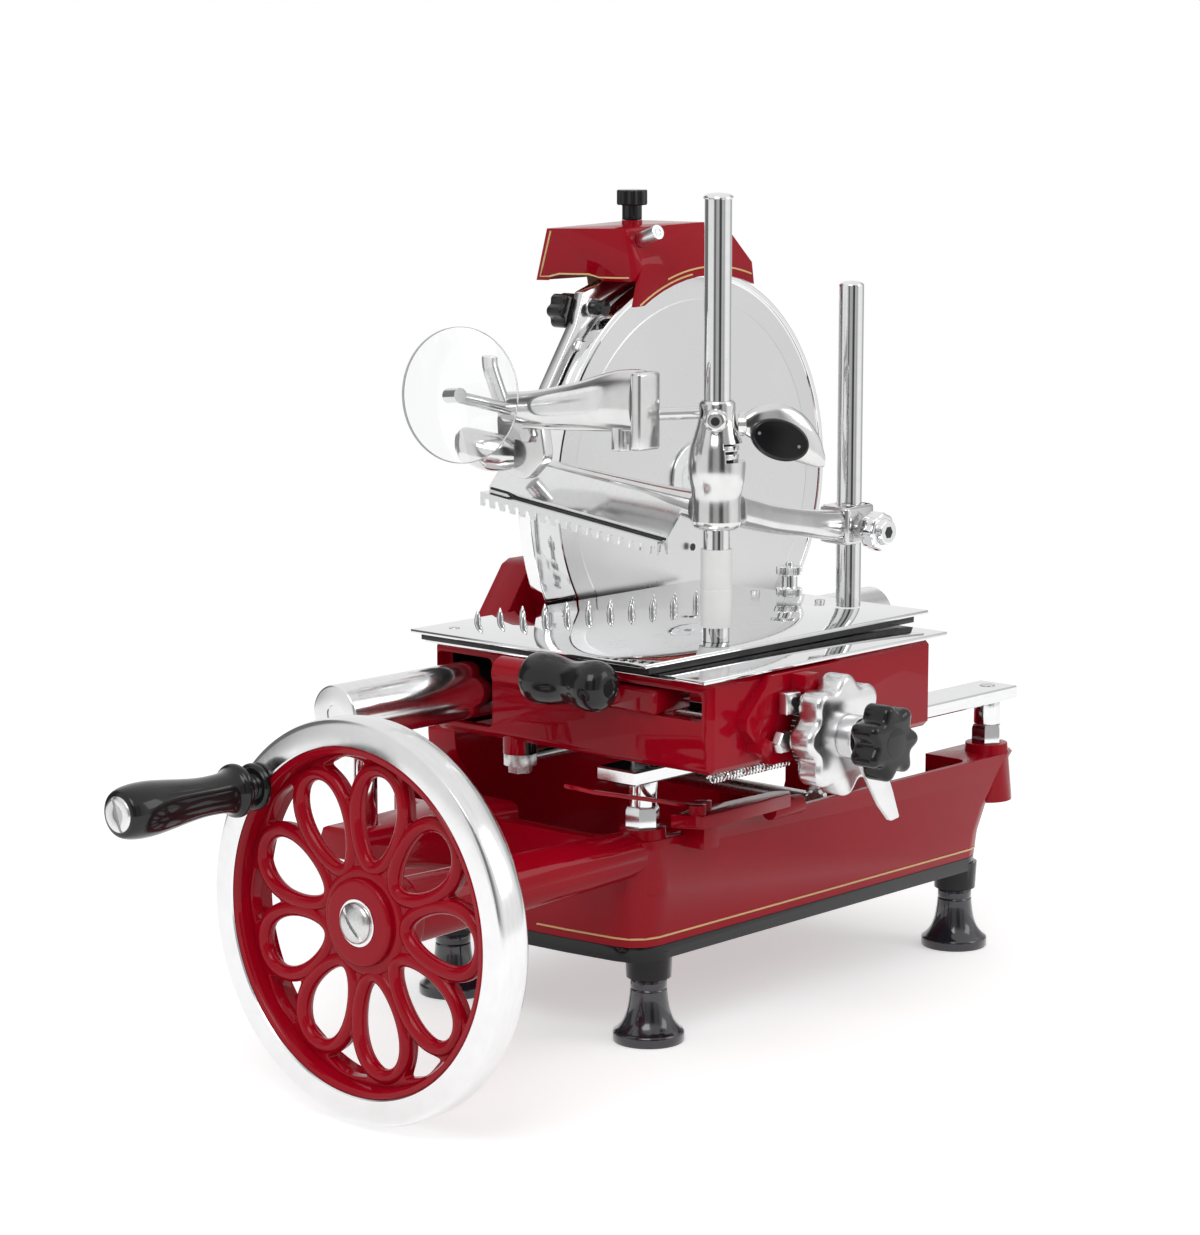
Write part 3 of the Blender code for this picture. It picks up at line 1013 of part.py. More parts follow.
    body("push_pin", PUSH_PIN_START, "frame")
    finish(rod("pin", PUSH_PIN_START, PUSH_PIN_END, PUSH_PIN_RADIUS, "push_pin", sides=SMALL_ROUND), "push_pin", BRUSHED)


# Carriage
CARRIAGE_LEFT_X = -0.285
CARRIAGE_RIGHT_X = -0.046
CARRIAGE_NEAR_Y = -0.258
CARRIAGE_FAR_Y = -0.004
CARRIAGE_Z = 0.202
CARRIAGE_TOP = 0.2643
CARRIAGE_WALL = 0.008
CARRIAGE_CEILING = 0.007
CARRIAGE_EDGE = 0.004
RAIL_OPENING = ((-0.061, -0.008), (0.209, 0.2575))
FEED_SLOT = ((-0.250, -0.129), (0.237, 0.256))
OPENING_ROUND = 0.004
WEB_X = (-0.200, -0.150)
WEB_NEAR_Y = -0.070
BUSH_OUTER_RADIUS = 0.0262
BUSH_OVERHANG = 0.004
SHOE_X = (-0.150, -0.112)
SHOE_Y = (-0.184, -0.153)
PANEL_CENTRE = (-0.194, 0.2330)
PANEL_HALF = (0.064, 0.0300)
PANEL_CORNER = 0.026
PANEL_PROUD = 0.008
ROD_PIVOT = (-0.272, -0.075)
ROD_BOSS_RADIUS = 0.0120
ROD_BOSS_LOW = 0.1920
COVER_X = (-0.297, -0.034)
COVER_Y = (-0.262, -0.008)
COVER_THICKNESS = 0.003

# Connecting rod
ROD_EYE_RADIUS = 0.0115
ROD_EYE_THICKNESS = 0.0080
ROD_RADIUS = 0.0060
ROD_END_X = -0.115
ROD_NUT_HEIGHT = 0.0055
ROD_NUT_FLATS = 0.0075
ROD_PIN_RADIUS = 0.0040

# Thickness controls
DIAL_X = -0.191
DIAL_Z = 0.221
DIAL_SHAFT_RADIUS = 0.006
DIAL_SHAFT_INSIDE_Y = -0.150
DIAL_RADIUS = 0.0275
DIAL_Y = -0.2700
DIAL_THICKNESS = 0.0060
DIAL_HUB_RADIUS = 0.012
WHEEL_LOBES = 8
HAND_WHEEL_RADIUS = 0.041
HAND_WHEEL_DEPTH = 0.0055
HAND_WHEEL_Y = -0.2784
HAND_WHEEL_THICKNESS = 0.0200
HAND_WHEEL_HUB_RADIUS = 0.014
INDEX_Y = -0.2990
INDEX_THICKNESS = 0.0120
INDEX_HUB_RADIUS = 0.0150
INDEX_ARM_WIDTH = 0.0120
INDEX_TIP = (-0.155, 0.161)
STAR_Y = -0.3160
STAR_RADIUS = 0.0260
STAR_DEPTH = 0.0060
STAR_LOBES = 7
STAR_THICKNESS = 0.0220
INDEX_BLOCK_CENTRE = (-0.205, -0.2718, 0.2560)
INDEX_BLOCK_SIZE = (0.014, 0.012, 0.012)
STOP_BOLT = (-0.243, 0.2165)

# Feed lever, rocker and spring
LEVER_BLOCK = ((-0.289, -0.213, 0.2373), (-0.252, -0.172, 0.254))
LEVER_ARM_RADIUS = 0.0070
LEVER_ARM_PATH = ((-0.272, -0.185, 0.247), (-0.298, -0.170, 0.247), (-0.301, -0.130, 0.249), (-0.322, -0.124, 0.258),
                  (-0.335, -0.130, 0.262))
LEVER_STUB_RADIUS = 0.0105
LEVER_STUB_Y = (-0.118, -0.1455)
LEVER_X = -0.335
LEVER_Z = 0.262
LEVER_GRIP_LENGTH = 0.068
LEVER_GRIP = ((0.00, 0.0150), (0.05, 0.0170), (0.13, 0.0165), (0.28, 0.0128), (0.42, 0.0122), (0.58, 0.0150), (0.74, 0.0172),
              (0.88, 0.0168), (0.97, 0.0130), (1.00, 0.0075))
ROCKER_Z = (0.1515, 0.1605)
ROCKER_PIVOT = (-0.221, -0.197)
ROCKER_OUTLINE = ((-0.246, -0.190), (-0.236, -0.210), (-0.215, -0.211), (-0.140, -0.208), (-0.132, -0.200), (-0.140, -0.193),
                  (-0.206, -0.190), (-0.212, -0.187))
ROCKER_BARREL = (-0.138, -0.2005, 0.1500)
ROCKER_BARREL_LENGTH = 0.033
ROCKER_BARREL_RADIUS = 0.0068
ROCKER_STRAP = ((-0.218, -0.197, 0.1620, 0.0055, 0.0022), (-0.232, -0.1895, 0.1650, 0.0055, 0.0016),
                (-0.262, -0.1895, 0.1730, 0.0060, 0.0014), (-0.330, -0.1895, 0.1900, 0.0065, 0.0014),
                (-0.345, -0.1895, 0.1950, 0.0065, 0.0014))
ROCKER_BOLT_RADIUS = 0.0055
SPRING_START = (-0.276, -0.2500, 0.1981)
SPRING_END_X = -0.196
SPRING_RADIUS = 0.0029
SPRING_WIRE = 0.0007
SPRING_TURNS = 24
SPRING_TURN_POINTS = 8


def window(name, opening, low_x, high_x):
    """A round-cornered opening through a wall that faces X."""
    (near, far), (low, high) = opening
    outline = softened([(near, low), (far, low), (far, high), (near, high)], OPENING_ROUND, 2)
    return plate(name, [outline], "X", low_x, high_x, "carriage")


def make_carriage():
    body("carriage", (DIAL_X, RAIL_Y, RAIL_Z), "frame")
    left, right, near, far = CARRIAGE_LEFT_X, CARRIAGE_RIGHT_X, CARRIAGE_NEAR_Y, CARRIAGE_FAR_Y
    casting = block("casting", (left, near, CARRIAGE_Z), (right, far, CARRIAGE_TOP), "carriage", CARRIAGE_EDGE, 1)
    wall = CARRIAGE_WALL
    centre_x, centre_z = PANEL_CENTRE
    half_x, half_z = PANEL_HALF
    corner = PANEL_CORNER
    panel = [(centre_x - half_x, centre_z - half_z + corner), (centre_x - half_x + corner, centre_z - half_z),
             (centre_x + half_x - corner, centre_z - half_z), (centre_x + half_x, centre_z - half_z + corner),
             (centre_x + half_x, centre_z + half_z - corner), (centre_x + half_x - corner, centre_z + half_z),
             (centre_x - half_x + corner, centre_z + half_z), (centre_x - half_x, centre_z + half_z - corner)]
    join(casting, plate("panel", [panel], "Y", near - PANEL_PROUD, near + CARRIAGE_WALL / 2, "carriage"))
    cut(casting, block("hollow", (left + wall, near + wall, CARRIAGE_Z - OVERRUN), (right - wall, far - wall,
                       CARRIAGE_TOP - CARRIAGE_CEILING), "carriage"))
    inside = CARRIAGE_TOP - CARRIAGE_CEILING / 2
    join(casting, block("web", (WEB_X[0], WEB_NEAR_Y, CARRIAGE_Z), (WEB_X[1], far - wall / 2, inside), "carriage"))
    join(casting, block("shoe", (SHOE_X[0], SHOE_Y[0], BAR_TOP + GAP), (SHOE_X[1], SHOE_Y[1], inside), "carriage"))
    join(casting, rod("rod_boss", (*ROD_PIVOT, ROD_BOSS_LOW), (*ROD_PIVOT, inside), ROD_BOSS_RADIUS, "carriage"))
    join(casting, block("stop", Vector(INDEX_BLOCK_CENTRE) - Vector(INDEX_BLOCK_SIZE) / 2,
                        Vector(INDEX_BLOCK_CENTRE) + Vector(INDEX_BLOCK_SIZE) / 2, "carriage"))
    join(casting, hexagon("stop_bolt", (STOP_BOLT[0], near, STOP_BOLT[1]), (STOP_BOLT[0], near - PANEL_PROUD * 1.6, STOP_BOLT[1]),
                          ROCKER_BOLT_RADIUS, "carriage"))
    for name, x, low in (("left", left, RAIL_OPENING[1][0]), ("right", right, CARRIAGE_Z - OPENING_ROUND * 2)):
        cut(casting, window("rail_opening_" + name, (RAIL_OPENING[0], (low, RAIL_OPENING[1][1])), x - wall * 1.5, x + wall * 1.5))
        cut(casting, window("feed_slot_" + name, FEED_SLOT, x - wall * 1.5, x + wall * 1.5))
    cut(casting, rod("bush_bore", (WEB_X[0] - BUSH_OVERHANG * 2, RAIL_Y, RAIL_Z), (WEB_X[1] + BUSH_OVERHANG * 2, RAIL_Y, RAIL_Z),
                     BUSH_OUTER_RADIUS + GAP, "carriage", sides=FINE_ROUND))
    cut(casting, rod("dial_bore", (DIAL_X, near - PANEL_PROUD - OVERRUN, DIAL_Z), (DIAL_X, near + wall * 2, DIAL_Z),
                     DIAL_SHAFT_RADIUS + GAP, "carriage"))
    cut(casting, rod("rod_pin_hole", (*ROD_PIVOT, ROD_BOSS_LOW - OVERRUN), (*ROD_PIVOT, ROD_BOSS_LOW + ROD_EYE_THICKNESS),
                     ROD_PIN_RADIUS + GAP, "carriage", sides=SMALL_ROUND))
    finish(casting, "carriage_casting", RED)

    cover = block("cover", (COVER_X[0], COVER_Y[0], CARRIAGE_TOP + GAP), (COVER_X[1], COVER_Y[1], CARRIAGE_TOP + GAP + COVER_THICKNESS),
                  "carriage")
    finish(cover, "carriage_cover", STEEL)
    low = WEB_X[0] - BUSH_OVERHANG - RAIL_OFFSET_X
    high = WEB_X[1] + BUSH_OVERHANG - RAIL_OFFSET_X
    profile = [(BUSH_OUTER_RADIUS, high), (BUSH_OUTER_RADIUS, low), (RAIL_RADIUS + GAP, low), (RAIL_RADIUS + GAP, high)]
    finish(turned("bush", profile, (RAIL_OFFSET_X, RAIL_Y, RAIL_Z), (1, 0, 0), "carriage", FINE_ROUND), "rail_bush", BRONZE)


RAIL_OFFSET_X = (WEB_X[0] + WEB_X[1]) / 2


def make_connecting_rod():
    body("connecting_rod", (*ROD_PIVOT, ROD_BOSS_LOW), "carriage")
    top = ROD_BOSS_LOW - GAP
    x, y = ROD_PIVOT
    eye_low = top - ROD_EYE_THICKNESS
    eye = rod("eye", (x, y, eye_low), (x, y, top), ROD_EYE_RADIUS, "connecting_rod")
    middle = (eye_low + top) / 2
    join(eye, rod("shank", (x, y, middle), (ROD_END_X, y, middle), ROD_EYE_THICKNESS * 0.45, "connecting_rod", ROD_RADIUS,
                  sides=SMALL_ROUND))
    join(eye, hexagon("rod_nut", (x, y, eye_low - ROD_NUT_HEIGHT), (x, y, middle), ROD_NUT_FLATS, "connecting_rod"))
    join(eye, rod("rod_pin", (x, y, middle), (x, y, top + ROD_EYE_THICKNESS / 2), ROD_PIN_RADIUS, "connecting_rod", sides=SMALL_ROUND))
    finish(eye, "connecting_rod", BRUSHED)


def make_controls():
    body("thickness_wheel", (DIAL_X, HAND_WHEEL_Y, DIAL_Z), "carriage")
    wheel = lobed("hand_wheel", HAND_WHEEL_RADIUS, HAND_WHEEL_DEPTH, WHEEL_LOBES, HAND_WHEEL_THICKNESS,
                  (DIAL_X, HAND_WHEEL_Y, DIAL_Z), (0, -1, 0), "thickness_wheel", steps=6, bevel=HAND_WHEEL_THICKNESS / 6)
    shaft_end = INDEX_Y - INDEX_THICKNESS - GAP
    join(wheel, rod("dial_shaft", (DIAL_X, DIAL_SHAFT_INSIDE_Y, DIAL_Z), (DIAL_X, shaft_end, DIAL_Z), DIAL_SHAFT_RADIUS,
                    "thickness_wheel"))
    finish(wheel, "thickness_wheel", STEEL)
    dial = turned("dial", [(DIAL_RADIUS, 0), (DIAL_RADIUS, -DIAL_THICKNESS), (DIAL_SHAFT_RADIUS + GAP, -DIAL_THICKNESS),
                           (DIAL_SHAFT_RADIUS + GAP, 0)], (DIAL_X, DIAL_Y - DIAL_THICKNESS, DIAL_Z), (0, -1, 0),
                  "carriage", FINE_ROUND)
    join(dial, turned("dial_hub", [(DIAL_HUB_RADIUS, 0), (DIAL_HUB_RADIUS, DIAL_Y - PANEL_FACE_Y - DIAL_THICKNESS / 2),
                                   (DIAL_SHAFT_RADIUS + GAP, DIAL_Y - PANEL_FACE_Y - DIAL_THICKNESS / 2),
                                   (DIAL_SHAFT_RADIUS + GAP, 0)], (DIAL_X, DIAL_Y - DIAL_THICKNESS / 2, DIAL_Z), (0, -1, 0),
                      "carriage"))
    finish(dial, "thickness_dial", BLACK_PAINT)

    body("index_lever", (DIAL_X, INDEX_Y, DIAL_Z), "carriage")
    reach = Vector((INDEX_TIP[0] - DIAL_X, 0, INDEX_TIP[1] - DIAL_Z))
    stations = [(Vector((DIAL_X, 0, DIAL_Z)) + reach * share, half) for share, half in
                ((0.0, INDEX_ARM_WIDTH / 2), (0.5, INDEX_ARM_WIDTH * 0.42), (1.0, INDEX_ARM_WIDTH / 2))]
    across = Vector((-reach.z, 0, reach.x)).normalized()
    outline = [(point + across * half).xz for point, half in stations]
    outline += [(point - across * half).xz for point, half in reversed(stations)]
    lever = rod("index_hub", (DIAL_X, INDEX_Y, DIAL_Z), (DIAL_X, INDEX_Y - INDEX_THICKNESS, DIAL_Z), INDEX_HUB_RADIUS, "index_lever")
    join(lever, plate("index_arm", [[tuple(point) for point in outline]], "Y", INDEX_Y - INDEX_THICKNESS * 0.75,
                      INDEX_Y - INDEX_THICKNESS * 0.25, "index_lever"))
    join(lever, rod("index_tip", (INDEX_TIP[0], INDEX_Y, INDEX_TIP[1]), (INDEX_TIP[0], INDEX_Y - INDEX_THICKNESS, INDEX_TIP[1]),
                    INDEX_ARM_WIDTH * 0.6, "index_lever", sides=SMALL_ROUND))
    cut(lever, rod("index_bore", (DIAL_X, INDEX_Y + OVERRUN, DIAL_Z), (DIAL_X, INDEX_Y - INDEX_THICKNESS - OVERRUN, DIAL_Z),
                   DIAL_SHAFT_RADIUS + GAP, "index_lever"))
    finish(lever, "index_lever", CHROME)

    body("feed_knob", (DIAL_X, STAR_Y, DIAL_Z), "carriage")
    knob = lobed("star", STAR_RADIUS, STAR_DEPTH, STAR_LOBES, STAR_THICKNESS, (DIAL_X, STAR_Y, DIAL_Z), (0, -1, 0), "feed_knob",
                 steps=6, bevel=STAR_THICKNESS / 5)
    join(knob, rod("star_neck", (DIAL_X, shaft_end - GAP, DIAL_Z), (DIAL_X, STAR_Y - STAR_THICKNESS / 2, DIAL_Z), INDEX_HUB_RADIUS * 0.8,
                   "feed_knob", sides=SMALL_ROUND))
    finish(knob, "feed_knob", BLACK_PLASTIC)


PANEL_FACE_Y = CARRIAGE_NEAR_Y - PANEL_PROUD - GAP


def sweep(name, stations, on, corner=0.35):
    """A bar through stations of (x, y, z, half width, half height), its sides upright."""
    rings = []
    count = len(stations)
    for i, (x, y, z, half, rise) in enumerate(stations):
        back = Vector(stations[max(i - 1, 0)][:2])
        ahead = Vector(stations[min(i + 1, count - 1)][:2])
        toward = (ahead - back).normalized()
        side = Vector((-toward.y, toward.x))
        section = softened([(-half, -rise), (half, -rise), (half, rise), (-half, rise)], min(half, rise) * corner, 2)
        rings.append([(x + side.x * first, y + side.y * first, z + second) for first, second in section])
    return loft(name, rings, on)


def make_feed():
    body("feed_lever", (LEVER_X, LEVER_STUB_Y[0], LEVER_Z), "carriage")
    lever = block("lever_block", LEVER_BLOCK[0], LEVER_BLOCK[1], "feed_lever", OVERRUN, 1)
    join(lever, wire("lever_arm", LEVER_ARM_PATH, LEVER_ARM_RADIUS, "feed_lever"))
    join(lever, rod("lever_stub", (LEVER_X, LEVER_STUB_Y[0], LEVER_Z), (LEVER_X, LEVER_STUB_Y[1], LEVER_Z), LEVER_STUB_RADIUS, "feed_lever"))
    finish(lever, "feed_lever", RED)
    start = LEVER_STUB_Y[1] - GAP
    profile = [(0, LEVER_GRIP_LENGTH)]
    profile += [(radius, share * LEVER_GRIP_LENGTH) for share, radius in reversed(LEVER_GRIP)]
    profile += [(0, 0)]
    finish(turned("grip", profile, (LEVER_X, start, LEVER_Z), (0, -1, 0), "feed_lever", ROUND), "lever_grip", BLACK_PLASTIC)

    body("feed_rocker", (*ROCKER_PIVOT, ROCKER_Z[0]), "frame")
    rocker = plate("rocker", [ROCKER_OUTLINE], "Z", ROCKER_Z[0], ROCKER_Z[1], "feed_rocker")
    x, y, z = ROCKER_BARREL
    join(rocker, rod("rocker_barrel", (x - ROCKER_BARREL_LENGTH / 2, y, z), (x + ROCKER_BARREL_LENGTH / 2, y, z), ROCKER_BARREL_RADIUS,
                     "feed_rocker", sides=SMALL_ROUND))
    join(rocker, sweep("rocker_strap", ROCKER_STRAP, "feed_rocker"))
    for i, spot in enumerate((ROCKER_PIVOT, (ROCKER_PIVOT[0] - ROCKER_BOLT_RADIUS * 2.2, ROCKER_PIVOT[1] - ROCKER_BOLT_RADIUS))):
        join(rocker, hexagon("rocker_bolt_%d" % i, (*spot, ROCKER_Z[0] + OVERRUN), (*spot, ROCKER_Z[1] + ROCKER_BOLT_RADIUS * 1.2),
                             ROCKER_BOLT_RADIUS, "feed_rocker"))
    finish(rocker, "feed_rocker", RED)

    points = []
    total = SPRING_TURNS * SPRING_TURN_POINTS
    length = SPRING_END_X - SPRING_START[0]
    for i in range(total + 1):
        angle = 2 * pi * i / SPRING_TURN_POINTS
        points.append((SPRING_START[0] + length * i / total, SPRING_START[1] + SPRING_RADIUS * cos(angle),
                       SPRING_START[2] + SPRING_RADIUS * sin(angle)))
    print("spring gap between turns %.4f m" % (length / SPRING_TURNS - 2 * SPRING_WIRE))
    finish(wire("spring", points, SPRING_WIRE, "carriage", 0), "feed_spring", STEEL, 80)


# Meat table
TABLE_X = (-0.309, -0.008)
TABLE_Y = (-0.226, -0.010)
TABLE_Z = (0.2730, 0.2760)
SLIDE_PLATE_X = (-0.313, -0.045)
SLIDE_PLATE_Y = (-0.2255, -0.0105)
SLIDE_PLATE_Z = 0.2681
SPIKE_RADIUS = 0.0016
SPIKE_HEIGHT = 0.0105
SPIKE_SIDES = 6
SPIKE_ROW_LONG = ((-0.268, -0.031), (-0.100, -0.087), 11)
SPIKE_ROW_SHORT = ((-0.232, -0.083), (-0.125, -0.088), 6)
POST_MAIN = (-0.2106, -0.1991)
POST_MAIN_RADIUS = 0.0092
POST_MAIN_TOP = 0.577
POST_DOME = 0.003
POST_GUIDE = (-0.0319, -0.1722)
POST_GUIDE_RADIUS = 0.0087
POST_GUIDE_TOP = 0.509
SLEEVE_RADIUS = 0.0107
SLEEVE_Z = (0.286, 0.339)
THUMB_NUT = (-0.0239, -0.1114)
THUMB_NUT_HEIGHT = 0.022
THUMB_NUT_RADIUS = 0.0095
THUMB_NUT_WAIST = 0.0060
THUMB_NUT_STUD = 0.0030

# Press
CLAMP_Z = (0.3400, 0.4390)
CLAMP_RADIUS = 0.0165
CLAMP_PROFILE = ((0.0115, 0.4390), (0.0135, 0.4330), (0.0150, 0.4180), (0.0165, 0.4100), (0.0185, 0.3800), (0.0195, 0.3600),
                 (0.0165, 0.3480), (0.0165, 0.3400))
CLAMP_LOBE = ((-0.240, -0.204, 0.385, 0.006, 0.022), (-0.222, -0.201, 0.390, 0.010, 0.026), (-0.212, -0.199, 0.390, 0.010, 0.026))
CLAMP_BLOCK = ((-0.206, -0.196, 0.395, 0.012, 0.030), (-0.176, -0.196, 0.398, 0.011, 0.026), (-0.170, -0.196, 0.398, 0.009, 0.022))
CLAMP_NUT_RADIUS = 0.0080
GUIDE_ROD_RADIUS = 0.0042
LEVER_PIVOT = (-0.196, -0.2187, 0.4230)
LEVER_STATIONS = ((-0.202, -0.2240, 0.4230, 0.0050, 0.0110), (-0.190, -0.2250, 0.4215, 0.0050, 0.0150),
                  (-0.172, -0.2265, 0.4150, 0.0050, 0.0200), (-0.152, -0.2280, 0.4060, 0.0050, 0.0195),
                  (-0.138, -0.2285, 0.3960, 0.0045, 0.0120), (-0.133, -0.2285, 0.3900, 0.0040, 0.0060))
LEVER_AXLE_RADIUS = 0.0045
PAD_CENTRE = (-0.168, 0.4120)
PAD_HALF = (0.0225, 0.0135)
PAD_TILT = radians(-24)
PAD_Y = (-0.2405, -0.2338)
ARM_PATH = ((-0.2127, -0.024, 0.3860, 0.0050, 0.0035), (-0.2117, -0.060, 0.3815, 0.0060, 0.0040), (-0.2102, -0.120, 0.3740, 0.0075, 0.0045),
            (-0.188, -0.155, 0.3600, 0.0080, 0.0050), (-0.150, -0.170, 0.3480, 0.0085, 0.0060), (-0.100, -0.172, 0.3420, 0.0090, 0.0080),
            (-0.042, -0.172, 0.3370, 0.0090, 0.0100))
ARM_BRIDGE = ((-0.188, -0.158, 0.3560, 0.0080, 0.0060), (-0.194, -0.180, 0.3560, 0.0060, 0.0080))
COLLAR_Z = (0.3220, 0.3510)
COLLAR_RADIUS = 0.0165
ARM_KNOB_START = (-0.0319, -0.1895, 0.3325)
ARM_KNOB_END = (-0.0319, -0.2080, 0.3325)
ARM_KNOB_RADIUS = 0.0105
ARM_KNOB_FLATS = 0.0090
TOOTH_FAR = (-0.014, 0.3560)
TOOTH_NEAR = (-0.178, 0.3360)
TOOTH_X = -0.238
TOOTH_SHEET = 0.0016
TOOTH_LIP = 0.0110
TOOTH_RISE = (0.0200, 0.0215)
TOOTH_COUNT = 17
TOOTH_DEPTH = 0.0055
REAR_LIP_X = -0.0090
HEAD_STATIONS = ((-0.256, -0.046, 0.4280, 0.0090, 0.0100), (-0.256, -0.075, 0.4290, 0.0110, 0.0120),
                 (-0.256, -0.115, 0.4330, 0.0135, 0.0170), (-0.256, -0.150, 0.4370, 0.0155, 0.0230), (-0.256, -0.164, 0.4370, 0.0155, 0.0240))
HEAD_BLOCK = ((-0.271, -0.182, 0.4080), (-0.243, -0.163, 0.4600))
HEAD_BLOCK_EDGE = 0.003
HEAD_BOSS = (-0.258, -0.1500)
HEAD_BOSS_Z = (0.4000, 0.4300)
HEAD_BOSS_RADIUS = 0.0072
HINGE_PLATE = ((-0.036, 0.386), (-0.066, 0.378), (-0.084, 0.394), (-0.078, 0.428), (-0.068, 0.438), (-0.052, 0.432), (-0.034, 0.424))
HINGE_PLATE_X = (-0.2560, -0.2460)
HINGE_BOLTS = ((-0.049, 0.399), (-0.070, 0.410))
POD_STATIONS = ((-0.276, -0.0200, 0.4050, 0.0090, 0.0110), (-0.270, -0.036, 0.3990, 0.0120, 0.0140), (-0.256, -0.056, 0.3960, 0.0100, 0.0120))
TAB_PATH = ((-0.262, -0.050, 0.424), (-0.264, -0.044, 0.440), (-0.266, -0.040, 0.456), (-0.266, -0.039, 0.461))
TAB_RADIUS = 0.0055
PRESS_STEM = ((-0.236, -0.036, 0.3895), (-0.250, -0.045, 0.398))
PRESS_STEM_RADIUS = 0.0060
LOWER_ROD = ((-0.258, -0.067, 0.4160), (-0.258, -0.147, 0.4200))
LOWER_ROD_RADIUS = 0.0020
DISC_CENTRE = (-0.3150, -0.0620, 0.4410)
DISC_RADIUS = 0.0460
DISC_THICKNESS = 0.0025
DISC_AXIS = (-0.62, -0.78, 0.10)
DISC_STEM = 0.014
DISC_STEM_RADIUS = 0.005
DISC_ARM_ROOT = (-0.258, -0.056, 0.426)


def make_table():
    body("meat_table", (DIAL_X, TABLE_Y[0], TABLE_Z[0]), "carriage")
    table = block("table", (TABLE_X[0], TABLE_Y[0], TABLE_Z[0]), (TABLE_X[1], TABLE_Y[1], TABLE_Z[1]), "meat_table")
    join(table, block("slide_plate", (SLIDE_PLATE_X[0], SLIDE_PLATE_Y[0], SLIDE_PLATE_Z),
                      (SLIDE_PLATE_X[1], SLIDE_PLATE_Y[1], TABLE_Z[0] + TOOTH_SHEET / 2), "meat_table"))
    for k, (first, last, count) in enumerate((SPIKE_ROW_LONG, SPIKE_ROW_SHORT)):
        for i in range(count):
            spot = Vector(first).lerp(Vector(last), i / (count - 1))
            join(table, rod("spike_%d_%d" % (k, i), (*spot, TABLE_Z[1] - TOOTH_SHEET), (*spot, TABLE_Z[1] + SPIKE_HEIGHT), SPIKE_RADIUS,
                            "meat_table", SPIKE_RADIUS / 6, SPIKE_SIDES))
    finish(table, "meat_table", STEEL)
    seat = TABLE_Z[1] + GAP
    for name, (x, y), radius, top in (("press_post_main", POST_MAIN, POST_MAIN_RADIUS, POST_MAIN_TOP),
                                      ("press_post_guide", POST_GUIDE, POST_GUIDE_RADIUS, POST_GUIDE_TOP)):
        profile = [(0, top), (radius * 0.5, top - POST_DOME * 0.2), (radius * 0.85, top - POST_DOME * 0.6), (radius, top - POST_DOME * 1.5),
                   (radius, seat), (0, seat)]
        finish(turned(name, profile, (x, y, 0), (0, 0, 1), "meat_table", ROUND), name, CHROME)
    profile = [(SLEEVE_RADIUS, SLEEVE_Z[1]), (SLEEVE_RADIUS, SLEEVE_Z[0]), (POST_MAIN_RADIUS + GAP, SLEEVE_Z[0]),
               (POST_MAIN_RADIUS + GAP, SLEEVE_Z[1])]
    finish(turned("sleeve", profile, (*POST_MAIN, 0), (0, 0, 1), "meat_table"), "post_sleeve", NYLON)
    body("table_thumb_nut", (*THUMB_NUT, seat), "meat_table")
    height = THUMB_NUT_HEIGHT
    profile = [(0, height * 1.15), (THUMB_NUT_STUD, height * 1.15), (THUMB_NUT_STUD, height), (THUMB_NUT_RADIUS, height),
               (THUMB_NUT_RADIUS, height * 0.72), (THUMB_NUT_WAIST, height * 0.66), (THUMB_NUT_WAIST, height * 0.30),
               (THUMB_NUT_RADIUS, height * 0.24), (THUMB_NUT_RADIUS, 0), (0, 0)]
    finish(turned("thumb_nut", profile, (*THUMB_NUT, seat), (0, 0, 1), "table_thumb_nut"), "table_thumb_nut", STEEL)


